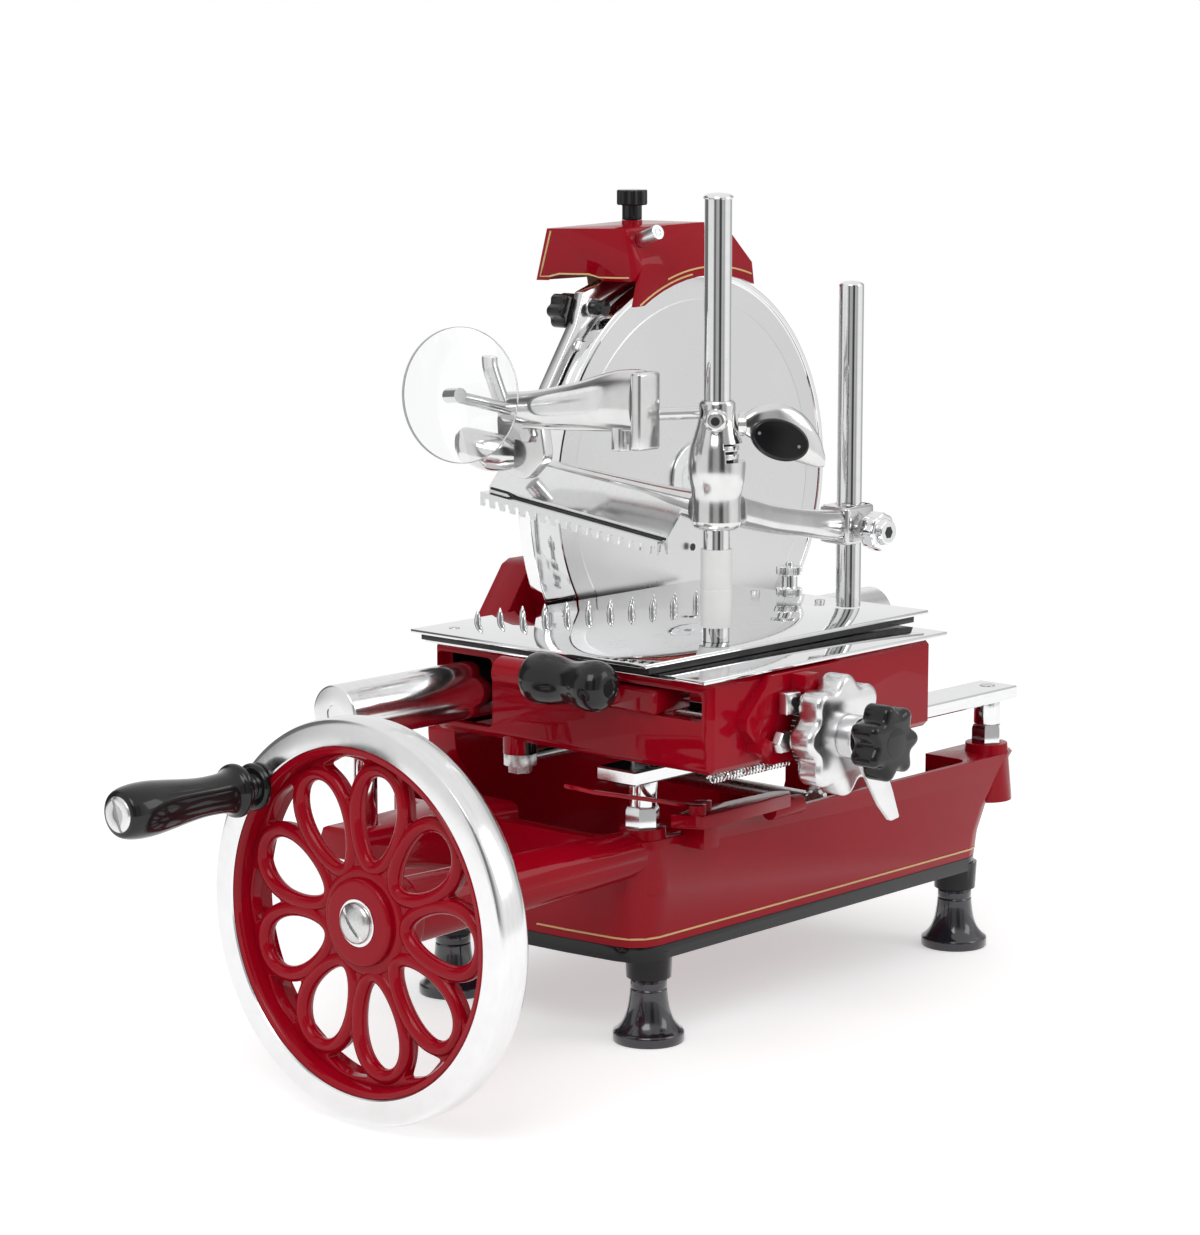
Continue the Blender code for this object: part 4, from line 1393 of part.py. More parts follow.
def make_press():
    body("press", (*POST_MAIN, CLAMP_Z[0]), "meat_table")
    profile = list(CLAMP_PROFILE)
    clamp = turned("clamp", [(0, profile[0][1])] + profile + [(0, profile[-1][1])], (*POST_MAIN, 0), (0, 0, 1), "press")
    join(clamp, sweep("clamp_lobe", CLAMP_LOBE, "press"))
    join(clamp, sweep("clamp_block", CLAMP_BLOCK, "press"))
    pivot = Vector(LEVER_PIVOT)
    join(clamp, rod("lever_boss", (pivot.x, pivot.y + CLAMP_RADIUS, pivot.z), pivot, CLAMP_RADIUS / 2, "press"))
    cut(clamp, rod("post_bore", (*POST_MAIN, CLAMP_Z[0] - OVERRUN), (*POST_MAIN, CLAMP_Z[1] + OVERRUN), POST_MAIN_RADIUS + GAP, "press"))
    finish(clamp, "press_clamp", CHROME, 50)

    body("press_lever", pivot, "press")
    lever = sweep("lever", LEVER_STATIONS, "press_lever", 0.9)
    finish(lever, "press_lever", CHROME, 50)
    outline = []
    for i in range(20):
        angle = 2 * pi * i / 20
        first = PAD_HALF[0] * cos(angle)
        second = PAD_HALF[1] * sin(angle)
        outline.append((PAD_CENTRE[0] + first * cos(PAD_TILT) - second * sin(PAD_TILT),
                        PAD_CENTRE[1] + first * sin(PAD_TILT) + second * cos(PAD_TILT)))
    pad = plate("pad", [outline], "Y", PAD_Y[0], PAD_Y[1], "press_lever", bead=TOOTH_SHEET)
    finish(pad, "lever_pad", BLACK_PLASTIC)

    arm = sweep("arm", ARM_PATH, "press", 0.8)
    join(arm, sweep("arm_bridge", ARM_BRIDGE, "press", 0.8))
    join(arm, rod("collar", (*POST_GUIDE, COLLAR_Z[0]), (*POST_GUIDE, COLLAR_Z[1]), COLLAR_RADIUS, "press"))
    cut(arm, rod("collar_bore", (*POST_GUIDE, COLLAR_Z[0] - OVERRUN), (*POST_GUIDE, COLLAR_Z[1] + OVERRUN), POST_GUIDE_RADIUS + GAP, "press"))
    cut(arm, rod("clamp_room", (*POST_MAIN, CLAMP_Z[0] - OVERRUN), (*POST_MAIN, CLAMP_Z[1]), CLAMP_PROFILE[5][0] + GAP, "press"))
    finish(arm, "press_arm", CHROME, 50)

    body("arm_knob", ARM_KNOB_START, "press")
    knob = hexagon("arm_knob", ARM_KNOB_START, ARM_KNOB_END, ARM_KNOB_FLATS, "arm_knob")
    finish(knob, "arm_knob", STEEL)

    far_y, far_z = TOOTH_FAR
    near_y, near_z = TOOTH_NEAR
    sheet = TOOTH_SHEET
    out, up = TOOTH_RISE
    rings = []
    for y, z in (TOOTH_FAR, TOOTH_NEAR):
        section = [(0, 0), (sheet, 0), (sheet, TOOTH_LIP), (out, TOOTH_LIP + up - sheet), (out - sheet, TOOTH_LIP + up), (0, TOOTH_LIP + sheet)]
        rings.append([(TOOTH_X + first, y, z + second) for first, second in section])
    tooth = loft("tooth", rings, "press")
    rings = []
    for y, z in (TOOTH_FAR, TOOTH_NEAR):
        section = [(REAR_LIP_X, 0), (REAR_LIP_X + sheet, 0), (REAR_LIP_X + sheet, TOOTH_LIP - sheet * 2), (sheet / 2, TOOTH_LIP - sheet * 2),
                   (sheet / 2, TOOTH_LIP - sheet), (REAR_LIP_X, TOOTH_LIP - sheet)]
        rings.append([(TOOTH_X + first, y, z + second) for first, second in section])
    join(tooth, loft("rear_lip", rings, "press"))
    span_y = near_y - far_y
    span_z = near_z - far_z
    comb = []
    for i in range(TOOTH_COUNT):
        for share, rise in ((0.30, -OVERRUN), (0.40, TOOTH_DEPTH), (0.85, TOOTH_DEPTH), (0.95, -OVERRUN)):
            along_y = (i + share) / TOOTH_COUNT
            comb.append((far_y + span_y * along_y, far_z + span_z * along_y + rise))
    comb += [(near_y, near_z - TOOTH_DEPTH * 2), (far_y, far_z - TOOTH_DEPTH * 2)]
    cut(tooth, plate("comb", [comb], "X", TOOTH_X + REAR_LIP_X - OVERRUN, TOOTH_X + sheet + OVERRUN / 2, "press"))
    finish(tooth, "tooth_plate", STEEL, 20)

    head = sweep("head", HEAD_STATIONS, "press", 0.95)
    join(head, block("head_block", HEAD_BLOCK[0], HEAD_BLOCK[1], "press", HEAD_BLOCK_EDGE, 1))
    join(head, rod("head_boss", (*HEAD_BOSS, HEAD_BOSS_Z[0]), (*HEAD_BOSS, HEAD_BOSS_Z[1]), HEAD_BOSS_RADIUS, "press", sides=SMALL_ROUND))
    join(head, plate("hinge_plate", [HINGE_PLATE], "X", HINGE_PLATE_X[0], HINGE_PLATE_X[1], "press"))
    for i, (y, z) in enumerate(HINGE_BOLTS):
        join(head, hexagon("hinge_bolt_%d" % i, (HINGE_PLATE_X[0] - TAB_RADIUS, y, z), (HINGE_PLATE_X[1], y, z), TAB_RADIUS, "press"))
    join(head, sweep("pod", POD_STATIONS, "press", 0.9))
    join(head, wire("tab", TAB_PATH, TAB_RADIUS, "press"))
    join(head, rod("lower_rod", LOWER_ROD[0], LOWER_ROD[1], LOWER_ROD_RADIUS, "press", sides=SMALL_ROUND // 2))
    disc = Vector(DISC_CENTRE)
    axis = Vector(DISC_AXIS).normalized()
    face = disc - axis * (DISC_THICKNESS / 2 + GAP)
    elbow = face - axis * DISC_STEM
    join(head, rod("disc_stem", elbow, face, DISC_STEM_RADIUS, "press", sides=SMALL_ROUND))
    join(head, rod("disc_arm", DISC_ARM_ROOT, elbow + axis * DISC_STEM_RADIUS, DISC_STEM_RADIUS * 0.8, "press", sides=SMALL_ROUND))
    join(head, rod("press_stem", PRESS_STEM[0], PRESS_STEM[1], PRESS_STEM_RADIUS, "press", sides=SMALL_ROUND))
    start = Vector((HEAD_BLOCK[1][0] - OVERRUN, HEAD_BLOCK[0][1] + OVERRUN * 3))
    post = Vector(POST_MAIN)
    end = post + (start - post).normalized() * (CLAMP_PROFILE[1][0] + GAP * 3)
    join(head, rod("guide_rod", (*start, HEAD_ROD_Z), (*end, HEAD_ROD_Z), GUIDE_ROD_RADIUS, "press",
                   sides=SMALL_ROUND))
    finish(head, "press_head", CHROME, 50)

    finish(rod("disc", disc - axis * DISC_THICKNESS / 2, disc + axis * DISC_THICKNESS / 2, DISC_RADIUS, "press", sides=FINE_ROUND),
           "guard_disc", CLEAR)


HEAD_ROD_Z = 0.4310

LEFT_END = WHEEL_FACE_X - CRANK_COLLAR_LENGTH - CRANK_NECK_LENGTH - GRIP_LENGTH - GRIP_CAP_LENGTH - GAP * 3
NEAR_END = STAR_Y - STAR_THICKNESS
FAR_END = CHAIN_Y + CHAIN_WIDTH / 2

body("frame", (0, 0, 0))
BODIES["frame"].location = (-(LEFT_END + RAIL_RIGHT_X) / 2, -(NEAR_END + FAR_END) / 2, 0)
foot_spots = make_feet()
make_base_plate(foot_spots)
make_base()
make_slides()
make_column()
make_guard()
make_flywheel()
make_crank()
make_drive()
make_chain()
make_sharpener()
make_carriage()
make_connecting_rod()
make_controls()
make_feed()
make_table()
make_press()
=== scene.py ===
"""Looks of the hand crank meat slicer, built round its CAD frame.

Lengths are in metres. A profile is a list of (radius, height) points.
"""
from math import atan2, cos, pi, radians, sin, sqrt

import bmesh
import bpy
from mathutils import Matrix, Vector
from mathutils.bvhtree import BVHTree


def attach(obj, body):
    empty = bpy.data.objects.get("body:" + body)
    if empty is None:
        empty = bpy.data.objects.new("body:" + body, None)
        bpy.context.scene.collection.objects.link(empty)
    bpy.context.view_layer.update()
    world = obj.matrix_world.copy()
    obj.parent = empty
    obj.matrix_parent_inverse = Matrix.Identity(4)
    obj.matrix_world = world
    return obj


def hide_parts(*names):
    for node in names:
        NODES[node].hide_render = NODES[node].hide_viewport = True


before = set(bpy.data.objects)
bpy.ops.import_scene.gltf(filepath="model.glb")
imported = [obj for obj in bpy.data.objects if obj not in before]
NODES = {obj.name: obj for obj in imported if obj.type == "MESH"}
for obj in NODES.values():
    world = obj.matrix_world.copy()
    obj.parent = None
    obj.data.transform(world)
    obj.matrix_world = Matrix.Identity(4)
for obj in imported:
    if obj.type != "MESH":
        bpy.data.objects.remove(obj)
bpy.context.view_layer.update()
scene = bpy.context.scene

# Directions
X = Vector((1, 0, 0))
Y = Vector((0, 1, 0))
Z = Vector((0, 0, 1))
OUT = (-1, 0, 0)
NEAR = (0, -1, 0)

# Places and sizes that several pieces share
SHIFT = Vector((0.23295, 0.12225, 0))
BLADE_HEIGHT = 0.352
BLADE_AT = (0, 0, BLADE_HEIGHT)
BLADE_RADIUS = 0.15
WHEEL = (-0.523, -0.168, 0.133)
WHEEL_FRONT = -0.5195
WHEEL_FACE = (WHEEL_FRONT, *WHEEL[1:])
WHEEL_RADIUS = 0.129
DIAL = Vector((-0.191, 0, 0.221))
TABLE_TOP = 0.276
POST = Vector((-0.2106, -0.1991, 0))
GUIDE = Vector((-0.0319, -0.1722, 0))
SHIELD_AT = Vector((-0.315, -0.062, 0.441))
SHIELD_AXIS = Vector((-0.22, -0.96, 0.1)).normalized()
SHIELD_RADIUS = 0.0455

# Camera
YAW = radians(42.0)
PITCH = radians(9.2)
VIEW = Vector((cos(YAW) * cos(PITCH), sin(YAW) * cos(PITCH), -sin(PITCH)))
camera_data = bpy.data.cameras.new("camera")
camera_data.lens = 102.69
camera_data.sensor_width = 36
camera_data.clip_end = 60
camera = bpy.data.objects.new("camera", camera_data)
scene.collection.objects.link(camera)
scene.camera = camera
camera.location = (-1.77285, -1.58785, 0.6719)
camera.rotation_mode = "QUATERNION"
camera.rotation_quaternion = VIEW.to_track_quat("-Z", "Y")


# Shader nodes
def add_node(tree, kind, values=None, links=None, **settings):
    """A new node with its settings, the values of its sockets and the outputs that feed them."""
    made = tree.nodes.new(kind)
    for key, value in settings.items():
        setattr(made, key, value)
    for socket, value in (values or {}).items():
        made.inputs[socket].default_value = value
    for socket, output in (links or {}).items():
        tree.links.new(output, made.inputs[socket])
    return made


def add_math(tree, operation, first, *others):
    """Joins outputs one after another by one operation."""
    for other in others:
        first = add_node(tree, "ShaderNodeMath", links={0: first, 1: other}, operation=operation).outputs[0]
    return first


def add_ramp(tree, factor, stops):
    """Colours between (position, colour) stops."""
    made = add_node(tree, "ShaderNodeValToRGB", links={"Fac": factor})
    elements = made.color_ramp.elements
    for element, (position, colour) in zip(elements, (stops[0], stops[-1])):
        element.position = position
        element.color = (*colour, 1)
    for position, colour in stops[1:-1]:
        elements.new(position).color = (*colour, 1)
    return made.outputs["Color"]


class Shader:
    """A material's node tree with short ways to vary its surface."""

    def __init__(self, name):
        self.material = bpy.data.materials.new(name)
        self.material.use_nodes = True
        self.tree = self.material.node_tree
        self.surface = self.tree.nodes["Principled BSDF"]
        self.place = self.add("ShaderNodeTexCoord").outputs["Object"]

    def add(self, kind, values=None, links=None, **settings):
        return add_node(self.tree, kind, values, links, **settings)

    def set(self, **values):
        for key, value in values.items():
            self.surface.inputs[key.replace("_", " ")].default_value = value

    def feed(self, socket, output):
        self.tree.links.new(output, self.surface.inputs[socket])

    def noise(self, scale, detail=3.0, roughness=0.5, at=None):
        values = {"Scale": scale, "Detail": detail, "Roughness": roughness}
        return self.add("ShaderNodeTexNoise", values, {"Vector": at or self.place}).outputs["Fac"]

    def colour(self, factor, low, high):
        self.feed("Base Color", add_ramp(self.tree, factor, ((0.3, low), (0.7, high))))

    def rough(self, factor, low, high):
        values = {"From Min": 0.3, "From Max": 0.7, "To Min": low, "To Max": high}
        self.feed("Roughness", self.add("ShaderNodeMapRange", values, {"Value": factor}).outputs["Result"])

    def bump(self, factor, strength, distance=0.0005):
        values = {"Strength": strength, "Distance": distance}
        self.feed("Normal", self.add("ShaderNodeBump", values, {"Height": factor}).outputs["Normal"])


# Materials
RED_LOW = (0.3, 0.001, 0.009)
RED_HIGH = (0.35, 0.0014, 0.012)
RED_COAT = 0.32
RED_SPECULAR = 0.03
# The carriage's hollow, given as two corners: inside it the red is painted black as painted shade
HOLLOW = ((-0.2776, -0.2506, 0.19), (-0.0534, -0.0114, 0.2579))
HOLLOW_SHADE_BLACK = (0.004, 0.004, 0.004, 1)
METAL_BUMP = 0.0002


def enamel(name, low, high, coat, rough=(0.16, 0.26), specular=0.5):
    """Glossy paint over a casting, with a slight orange peel."""
    shader = Shader(name)
    shader.set(Coat_Weight=coat, Coat_Roughness=0.03, IOR=1.5, Specular_IOR_Level=specular)
    shader.colour(shader.noise(9, 4), low, high)
    shader.rough(shader.noise(40), *rough)
    shader.bump(shader.noise(160, 2), 0.035)
    return shader.material


def enamel_with_hollow_shade(name, node, corners):
    """Red paint on a node, with painted shade that turns it black inside a hollow, given as two corners in
    design coordinates.
    """
    material = enamel(name, RED_LOW, RED_HIGH, RED_COAT, specular=RED_SPECULAR)
    tree = material.node_tree
    paint = tree.nodes["Principled BSDF"].inputs["Base Color"]
    bpy.context.view_layer.update()
    to_local = NODES[node].matrix_world.inverted()
    first, second = (to_local @ (Vector(corner) + SHIFT) for corner in corners)
    middle = (first + second) / 2
    place = add_node(tree, "ShaderNodeTexCoord").outputs["Object"]
    split = add_node(tree, "ShaderNodeSeparateXYZ", links={0: place})
    inside = []
    for axis in range(3):
        values = {1: middle[axis], 2: abs(second[axis] - first[axis]) / 2}
        near = add_node(tree, "ShaderNodeMath", values, {0: split.outputs[axis]}, operation="COMPARE")
        inside.append(near.outputs[0])
    links = {"Factor": add_math(tree, "MULTIPLY", *inside), "A": paint.links[0].from_socket}
    # Painted shade: black mixed into the red inside the hollow
    mixed = add_node(tree, "ShaderNodeMix", {"B": HOLLOW_SHADE_BLACK}, links, data_type="RGBA")
    tree.links.new(mixed.outputs["Result"], paint)
    return material


def metal(name, low, high, rough, scale=(1, 1, 1), grain=60, bump=0.02, fine=900):
    """Bare metal whose gloss and tone vary along its grain."""
    shader = Shader(name)
    shader.set(Metallic=1.0)
    along = shader.add("ShaderNodeMapping", {"Scale": scale}, {"Vector": shader.place}).outputs["Vector"]
    shader.colour(shader.noise(grain, 4, 0.6, along), low, high)
    shader.rough(shader.noise(grain * 1.7, 5, 0.6, along), *rough)
    shader.bump(shader.noise(fine, 3, 0.6, along), bump, METAL_BUMP)
    return shader.material


def blade_steel():
    """Satin sheet metal with fine rings about the blade's centre."""
    shader = Shader("blade_steel")
    shader.set(Metallic=1.0, Anisotropic=0.35)
    values = {"Location": -(Vector(BLADE_AT) + SHIFT)}
    centred = shader.add("ShaderNodeMapping", values, {"Vector": shader.place}).outputs["Vector"]
    values = {"Scale": 900.0, "Distortion": 0.6, "Detail": 3}
    links = {"Vector": centred}
    rings = shader.add("ShaderNodeTexWave", values, links, wave_type="RINGS", rings_direction="Y")
    shader.colour(shader.noise(7, 4), (0.7, 0.7, 0.705), (0.73, 0.73, 0.735))
    shader.rough(shader.noise(26, 4), 0.26, 0.32)
    shader.bump(rings.outputs["Fac"], 0.012, METAL_BUMP)
    return shader.material


def plastic(name, low, high, rough, coat, peel=0.04, specular=0.5):
    """Moulded plastic or rubber, with a fine grain."""
    shader = Shader(name)
    shader.set(Coat_Weight=coat, Coat_Roughness=0.06, Specular_IOR_Level=specular)
    shader.colour(shader.noise(30), low, high)
    shader.rough(shader.noise(70), *rough)
    shader.bump(shader.noise(120), peel)
    return shader.material


def stone():
    """Coarse brown abrasive."""
    shader = Shader("abrasive_stone")
    shader.colour(shader.noise(420, 4, 0.7), (0.085, 0.04, 0.024), (0.26, 0.13, 0.075))
    shader.rough(shader.noise(200, 2), 0.82, 0.95)
    shader.bump(shader.noise(700, 4, 0.7), 0.6)
    return shader.material


def clear_plastic():
    shader = Shader("clear_guard")
    shader.set(Transmission_Weight=1.0, IOR=1.46)
    shader.colour(shader.noise(5, 2), (0.975, 0.985, 0.985), (1.0, 1.0, 1.0))
    shader.rough(shader.noise(12, 2), 0.0, 0.02)
    return shader.material


M = {
    "red_enamel": enamel("red_enamel", RED_LOW, RED_HIGH, RED_COAT, specular=RED_SPECULAR),
    "carriage_red_hollow_shade": enamel_with_hollow_shade("carriage_red_hollow_shade", "carriage_casting", HOLLOW),
    "black_enamel": enamel("black_enamel", (0.005, 0.005, 0.006), (0.01, 0.01, 0.012), 0.45,
                           (0.12, 0.22), 0.1),
    "black_handle": plastic("black_handle", (0.006, 0.006, 0.007), (0.011, 0.011, 0.012), (0.16, 0.26),
                            0.55, 0.02, 0.12),
    "foot_rubber": plastic("foot_rubber", (0.012, 0.011, 0.016), (0.024, 0.023, 0.032), (0.14, 0.24),
                           0.8, 0.03),
    "polished_steel": metal("polished_steel", (0.77, 0.775, 0.78), (0.82, 0.82, 0.825), (0.08, 0.13),
                            (1, 6, 6), bump=0.006),
    "brushed_steel": metal("brushed_steel", (0.58, 0.58, 0.58), (0.7, 0.7, 0.695), (0.24, 0.36),
                           (1, 14, 14), bump=0.08),
    "chrome_plate": metal("chrome_plate", (0.82, 0.825, 0.83), (0.87, 0.87, 0.875), (0.035, 0.065),
                          (1, 3, 3), bump=0.002),
    "bronze": metal("bronze", (0.36, 0.22, 0.085), (0.5, 0.33, 0.15), (0.22, 0.36), (1, 8, 8), bump=0.05),
    "nylon": plastic("nylon", (0.72, 0.72, 0.71), (0.82, 0.82, 0.81), (0.3, 0.42), 0.15),
    "abrasive": stone(),
    "clear_plastic": clear_plastic(),
    "blade": blade_steel(),
    "table": metal("table_steel", (0.76, 0.765, 0.77), (0.8, 0.8, 0.805), (0.03, 0.05), (5, 1, 5),
                   bump=0.002),
    "casting": metal("cast_alloy", (0.66, 0.66, 0.66), (0.75, 0.75, 0.745), (0.12, 0.19),
                     grain=40, fine=300),
    "rim": metal("rim_steel", (0.78, 0.78, 0.785), (0.83, 0.83, 0.835), (0.14, 0.2), (6, 1, 1), bump=0.002),
    # Painted shade: near-black paint for holes, recesses, grooves and the table's underside, where shade
    # falls
    "dark": enamel("painted_recess_shade", (0.004, 0.004, 0.004), (0.01, 0.01, 0.01), 0.2, (0.5, 0.7)),
    "gold": enamel("gold_line", (0.7, 0.46, 0.2), (0.78, 0.56, 0.27), 0.3, (0.3, 0.4), 0.1),
    "satin": metal("satin_chrome", (0.72, 0.72, 0.725), (0.78, 0.78, 0.785), (0.2, 0.28), bump=0.004),
    "disc_edge": enamel("clear_edge", (0.42, 0.43, 0.44), (0.52, 0.53, 0.54), 0.2, (0.3, 0.4), 0.2),
    "dial": enamel("dial_black", (0.006, 0.006, 0.007), (0.012, 0.012, 0.014), 1.0, (0.25, 0.35)),
    "mark": enamel("dial_mark", (0.7, 0.68, 0.6), (0.82, 0.8, 0.74), 0.2, (0.4, 0.5)),
}


# Making pieces
def finish(mesh, name, body, slot, material=None, nodes=(), smooth=35):
    """Turns a mesh, or a list of them, in design coordinates into a piece that rides on a body."""
    if isinstance(mesh, list):
        mesh = together(mesh)
    mesh.transform(Matrix.Translation(SHIFT))
    mesh.name = name
    mesh.materials.clear()
    mesh.materials.append(M[material or slot])
    mesh.shade_smooth()
    mesh.set_sharp_from_angle(angle=radians(smooth))
    obj = bpy.data.objects.new(name, mesh)
    scene.collection.objects.link(obj)
    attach(obj, body)
    if nodes:
        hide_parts(*nodes)
    return obj


def to_mesh(shape, name="piece"):
    bmesh.ops.recalc_face_normals(shape, faces=shape.faces)
    mesh = bpy.data.meshes.new(name)
    shape.to_mesh(mesh)
    shape.free()
    return mesh


def together(meshes):
    """One mesh from several closed ones."""
    shape = bmesh.new()
    for mesh in meshes:
        shape.from_mesh(mesh)
        bpy.data.meshes.remove(mesh)
    mesh = bpy.data.meshes.new("piece")
    shape.to_mesh(mesh)
    shape.free()
    return mesh


def stand(mesh, at, direction):
    """Turns a mesh's Z axis along a direction and moves it to a place."""
    turn = Vector(direction).to_track_quat("Z", "Y").to_matrix().to_4x4()
    mesh.transform(Matrix.Translation(Vector(at)) @ turn)
    return mesh


def on_circle(centre, radius, angle):
    return centre[0] + radius * cos(angle), centre[1] + radius * sin(angle)


def arc(centre, radius, start, end, steps):
    return [on_circle(centre, radius, start + (end - start) * i / steps) for i in range(steps + 1)]


def circle(radius, steps=64, centre=(0, 0)):
    return [on_circle(centre, radius, 2 * pi * i / steps) for i in range(steps)]


def turned(profile, at, direction=Z, steps=96):
    """A profile turned about a line; one that starts off the line closes into a ring."""
    shape = bmesh.new()
    rows = []
    for radius, height in profile:
        spots = circle(radius, steps) if radius > 0 else [(0, 0)]
        rows.append([shape.verts.new((*spot, height)) for spot in spots])
    pairs = list(zip(rows, rows[1:]))
    if len(rows[0]) > 1:
        pairs.append((rows[-1], rows[0]))
    for lower, upper in pairs:
        for i in range(steps):
            ways = ((lower, i), (lower, i + 1), (upper, i + 1), (upper, i))
            face = list(dict.fromkeys(row[k % len(row)] for row, k in ways))
            if len(face) > 2:
                shape.faces.new(face)
    return stand(to_mesh(shape), at, direction)


def soft_corner(before, here, after, radius, limit, steps):
    """Points on a small curve in place of a corner, within a share of both sides."""
    here = Vector(here)
    back = Vector(before) - here
    ahead = Vector(after) - here
    reach = min(radius, back.length * limit, ahead.length * limit)
    first = here + back.normalized() * reach
    last = here + ahead.normalized() * reach
    shares = [k / steps for k in range(steps + 1)]
    return [tuple(first * (1 - t) ** 2 + here * 2 * t * (1 - t) + last * t ** 2) for t in shares]


def rounded(profile, radius, steps=4):
    """An open profile with soft corners between its ends."""
    points = [profile[0]]
    for before, here, after in zip(profile, profile[1:], profile[2:]):
        points += soft_corner(before, here, after, radius, 0.45, steps)
    return points + [profile[-1]]


def soft_loop(corners, radius, steps=5):
    """A closed outline with soft corners; a corner may give its own radius."""
    points = []
    for i, corner in enumerate(corners):
        before, after = corners[i - 1], corners[(i + 1) % len(corners)]
        own = corner[2] if len(corner) > 2 else radius
        points += soft_corner(before[:2], corner[:2], after[:2], own, 0.49, steps)
    return points


def cylinder(radius, high, low, at, direction, bead=0, steps=48, bore=0):
    """A round disc, rod or ring between two heights along a direction, its edges softened by the bead."""
    profile = [(bore, high), (radius, high), (radius, low), (bore, low)]
    return turned(rounded(profile, bead) if bead else profile, at, direction, steps)


AXES = {
    "X": Matrix(((0, 0, 1, 0), (1, 0, 0, 0), (0, 1, 0, 0), (0, 0, 0, 1))),
    "Y": Matrix(((1, 0, 0, 0), (0, 0, -1, 0), (0, 1, 0, 0), (0, 0, 0, 1))),
    "Z": Matrix.Identity(4),
}
PLATE_WELD = 0.000004


def evaluated_mesh(obj):
    return bpy.data.meshes.new_from_object(obj.evaluated_get(bpy.context.evaluated_depsgraph_get()))


def plate(outlines, axis, low, high, bead=0.0, steps=3):
    """A flat outline with holes, extruded along an axis, its edges rounded."""
    flat = bpy.data.curves.new("plate", "CURVE")
    flat.dimensions = "2D"
    flat.fill_mode = "BOTH"
    flat.extrude = abs(high - low) / 2 - bead
    flat.bevel_depth = bead
    flat.bevel_resolution = steps
    flat.offset = -bead
    for outline in outlines:
        spline = flat.splines.new("POLY")
        spline.points.add(len(outline) - 1)
        for point, (first, second) in zip(spline.points, outline):
            point.co = (first, second, 0, 1)
        spline.use_cyclic_u = True
    guide = bpy.data.objects.new("plate", flat)
    scene.collection.objects.link(guide)
    mesh = evaluated_mesh(guide)
    bpy.data.objects.remove(guide)
    shape = bmesh.new()
    shape.from_mesh(mesh)
    bmesh.ops.remove_doubles(shape, verts=shape.verts, dist=PLATE_WELD)
    bmesh.ops.recalc_face_normals(shape, faces=shape.faces)
    shape.to_mesh(mesh)
    shape.free()
    mesh.transform(AXES[axis])
    mesh.transform(Matrix.Translation({"X": X, "Y": Y, "Z": Z}[axis] * ((low + high) / 2)))
    return mesh


def loft(rings, closed=False):
    """A body through rings with as many points each, whose ends are filled or, if closed, joined."""
    shape = bmesh.new()
    rows = [[shape.verts.new(point) for point in ring] for ring in rings]
    pairs = list(zip(rows, rows[1:]))
    if closed:
        pairs.append((rows[-1], rows[0]))
    for lower, upper in pairs:
        for i in range(len(lower)):
            j = (i + 1) % len(lower)
            shape.faces.new((lower[i], lower[j], upper[j], upper[i]))
    if not closed:
        shape.faces.new(list(reversed(rows[0])))
        shape.faces.new(rows[-1])
    return to_mesh(shape)


def smooth_path(points, steps):
    """Points on a Catmull-Rom curve through rows of numbers, filled up to three each."""
    rows = [Vector((*point, 0)[:3]) for point in points]
    result = []
    for i in range(len(rows) - 1):
        before, first, second = rows[max(i - 1, 0)], rows[i], rows[i + 1]
        after = rows[min(i + 2, len(rows) - 1)]
        square = 2 * before - 5 * first + 4 * second - after
        cube = 3 * first - before - 3 * second + after
        for k in range(steps):
            t = k / steps
            result.append(0.5 * ((2 * first) + (second - before) * t + square * t * t + cube * t ** 3))
    result.append(rows[-1])
    return result


def smooth_profile(stations, steps=5):
    """A profile's points on a smooth curve through its stations."""
    return [(point.x, point.y) for point in smooth_path(stations, steps)]


def bar(stations, power=2.6, steps=6, sides=28):
    """A bar through (x, y, z, half width, half height), with soft sides that stay upright."""
    spine = smooth_path([station[:3] for station in stations], steps)
    sizes = smooth_path([station[3:] for station in stations], steps)
    rings = []
    for i, here in enumerate(spine):
        back = spine[max(i - 1, 0)]
        ahead = spine[min(i + 1, len(spine) - 1)]
        toward = Vector((ahead.x - back.x, ahead.y - back.y)).normalized()
        side = Vector((-toward.y, toward.x, 0))
        ring = []
        for k in range(sides):
            c, s = on_circle((0, 0), 1, 2 * pi * k / sides)
            across = sizes[i].x * (abs(c) ** (2 / power)) * (1 if c >= 0 else -1)
            up = sizes[i].y * (abs(s) ** (2 / power)) * (1 if s >= 0 else -1)
            ring.append(here + side * across + Z * up)
        rings.append(ring)
    return loft(rings)


def tube(points, radius, closed=False, sides=16, smooth=0):
    """A round tube along points, kept from twisting."""
    spine = [Vector(point) for point in points]
    if smooth:
        spine = smooth_path(spine, smooth)
    count = len(spine)
    rings = []
    normal = None
    for i, here in enumerate(spine):
        if closed:
            toward = (spine[(i + 1) % count] - spine[i - 1]).normalized()
        else:
            toward = (spine[min(i + 1, count - 1)] - spine[max(i - 1, 0)]).normalized()
        if normal is None:
            normal = toward.orthogonal().normalized()
        else:
            normal = (normal - toward * normal.dot(toward)).normalized()
        across = toward.cross(normal)
        rings.append([here + normal * first + across * second for first, second in circle(radius, sides)])
    return loft(rings, closed)


def box(low, high, bevel=0.0, segments=3):
    shape = bmesh.new()
    bmesh.ops.create_cube(shape, size=1.0)
    bmesh.ops.scale(shape, vec=Vector(high) - Vector(low), verts=shape.verts)
    if bevel:
        bmesh.ops.bevel(shape, geom=shape.edges[:], offset=bevel, segments=segments, profile=0.5,
                        affect="EDGES")
    bmesh.ops.translate(shape, vec=(Vector(low) + Vector(high)) / 2, verts=shape.verts)
    return to_mesh(shape)


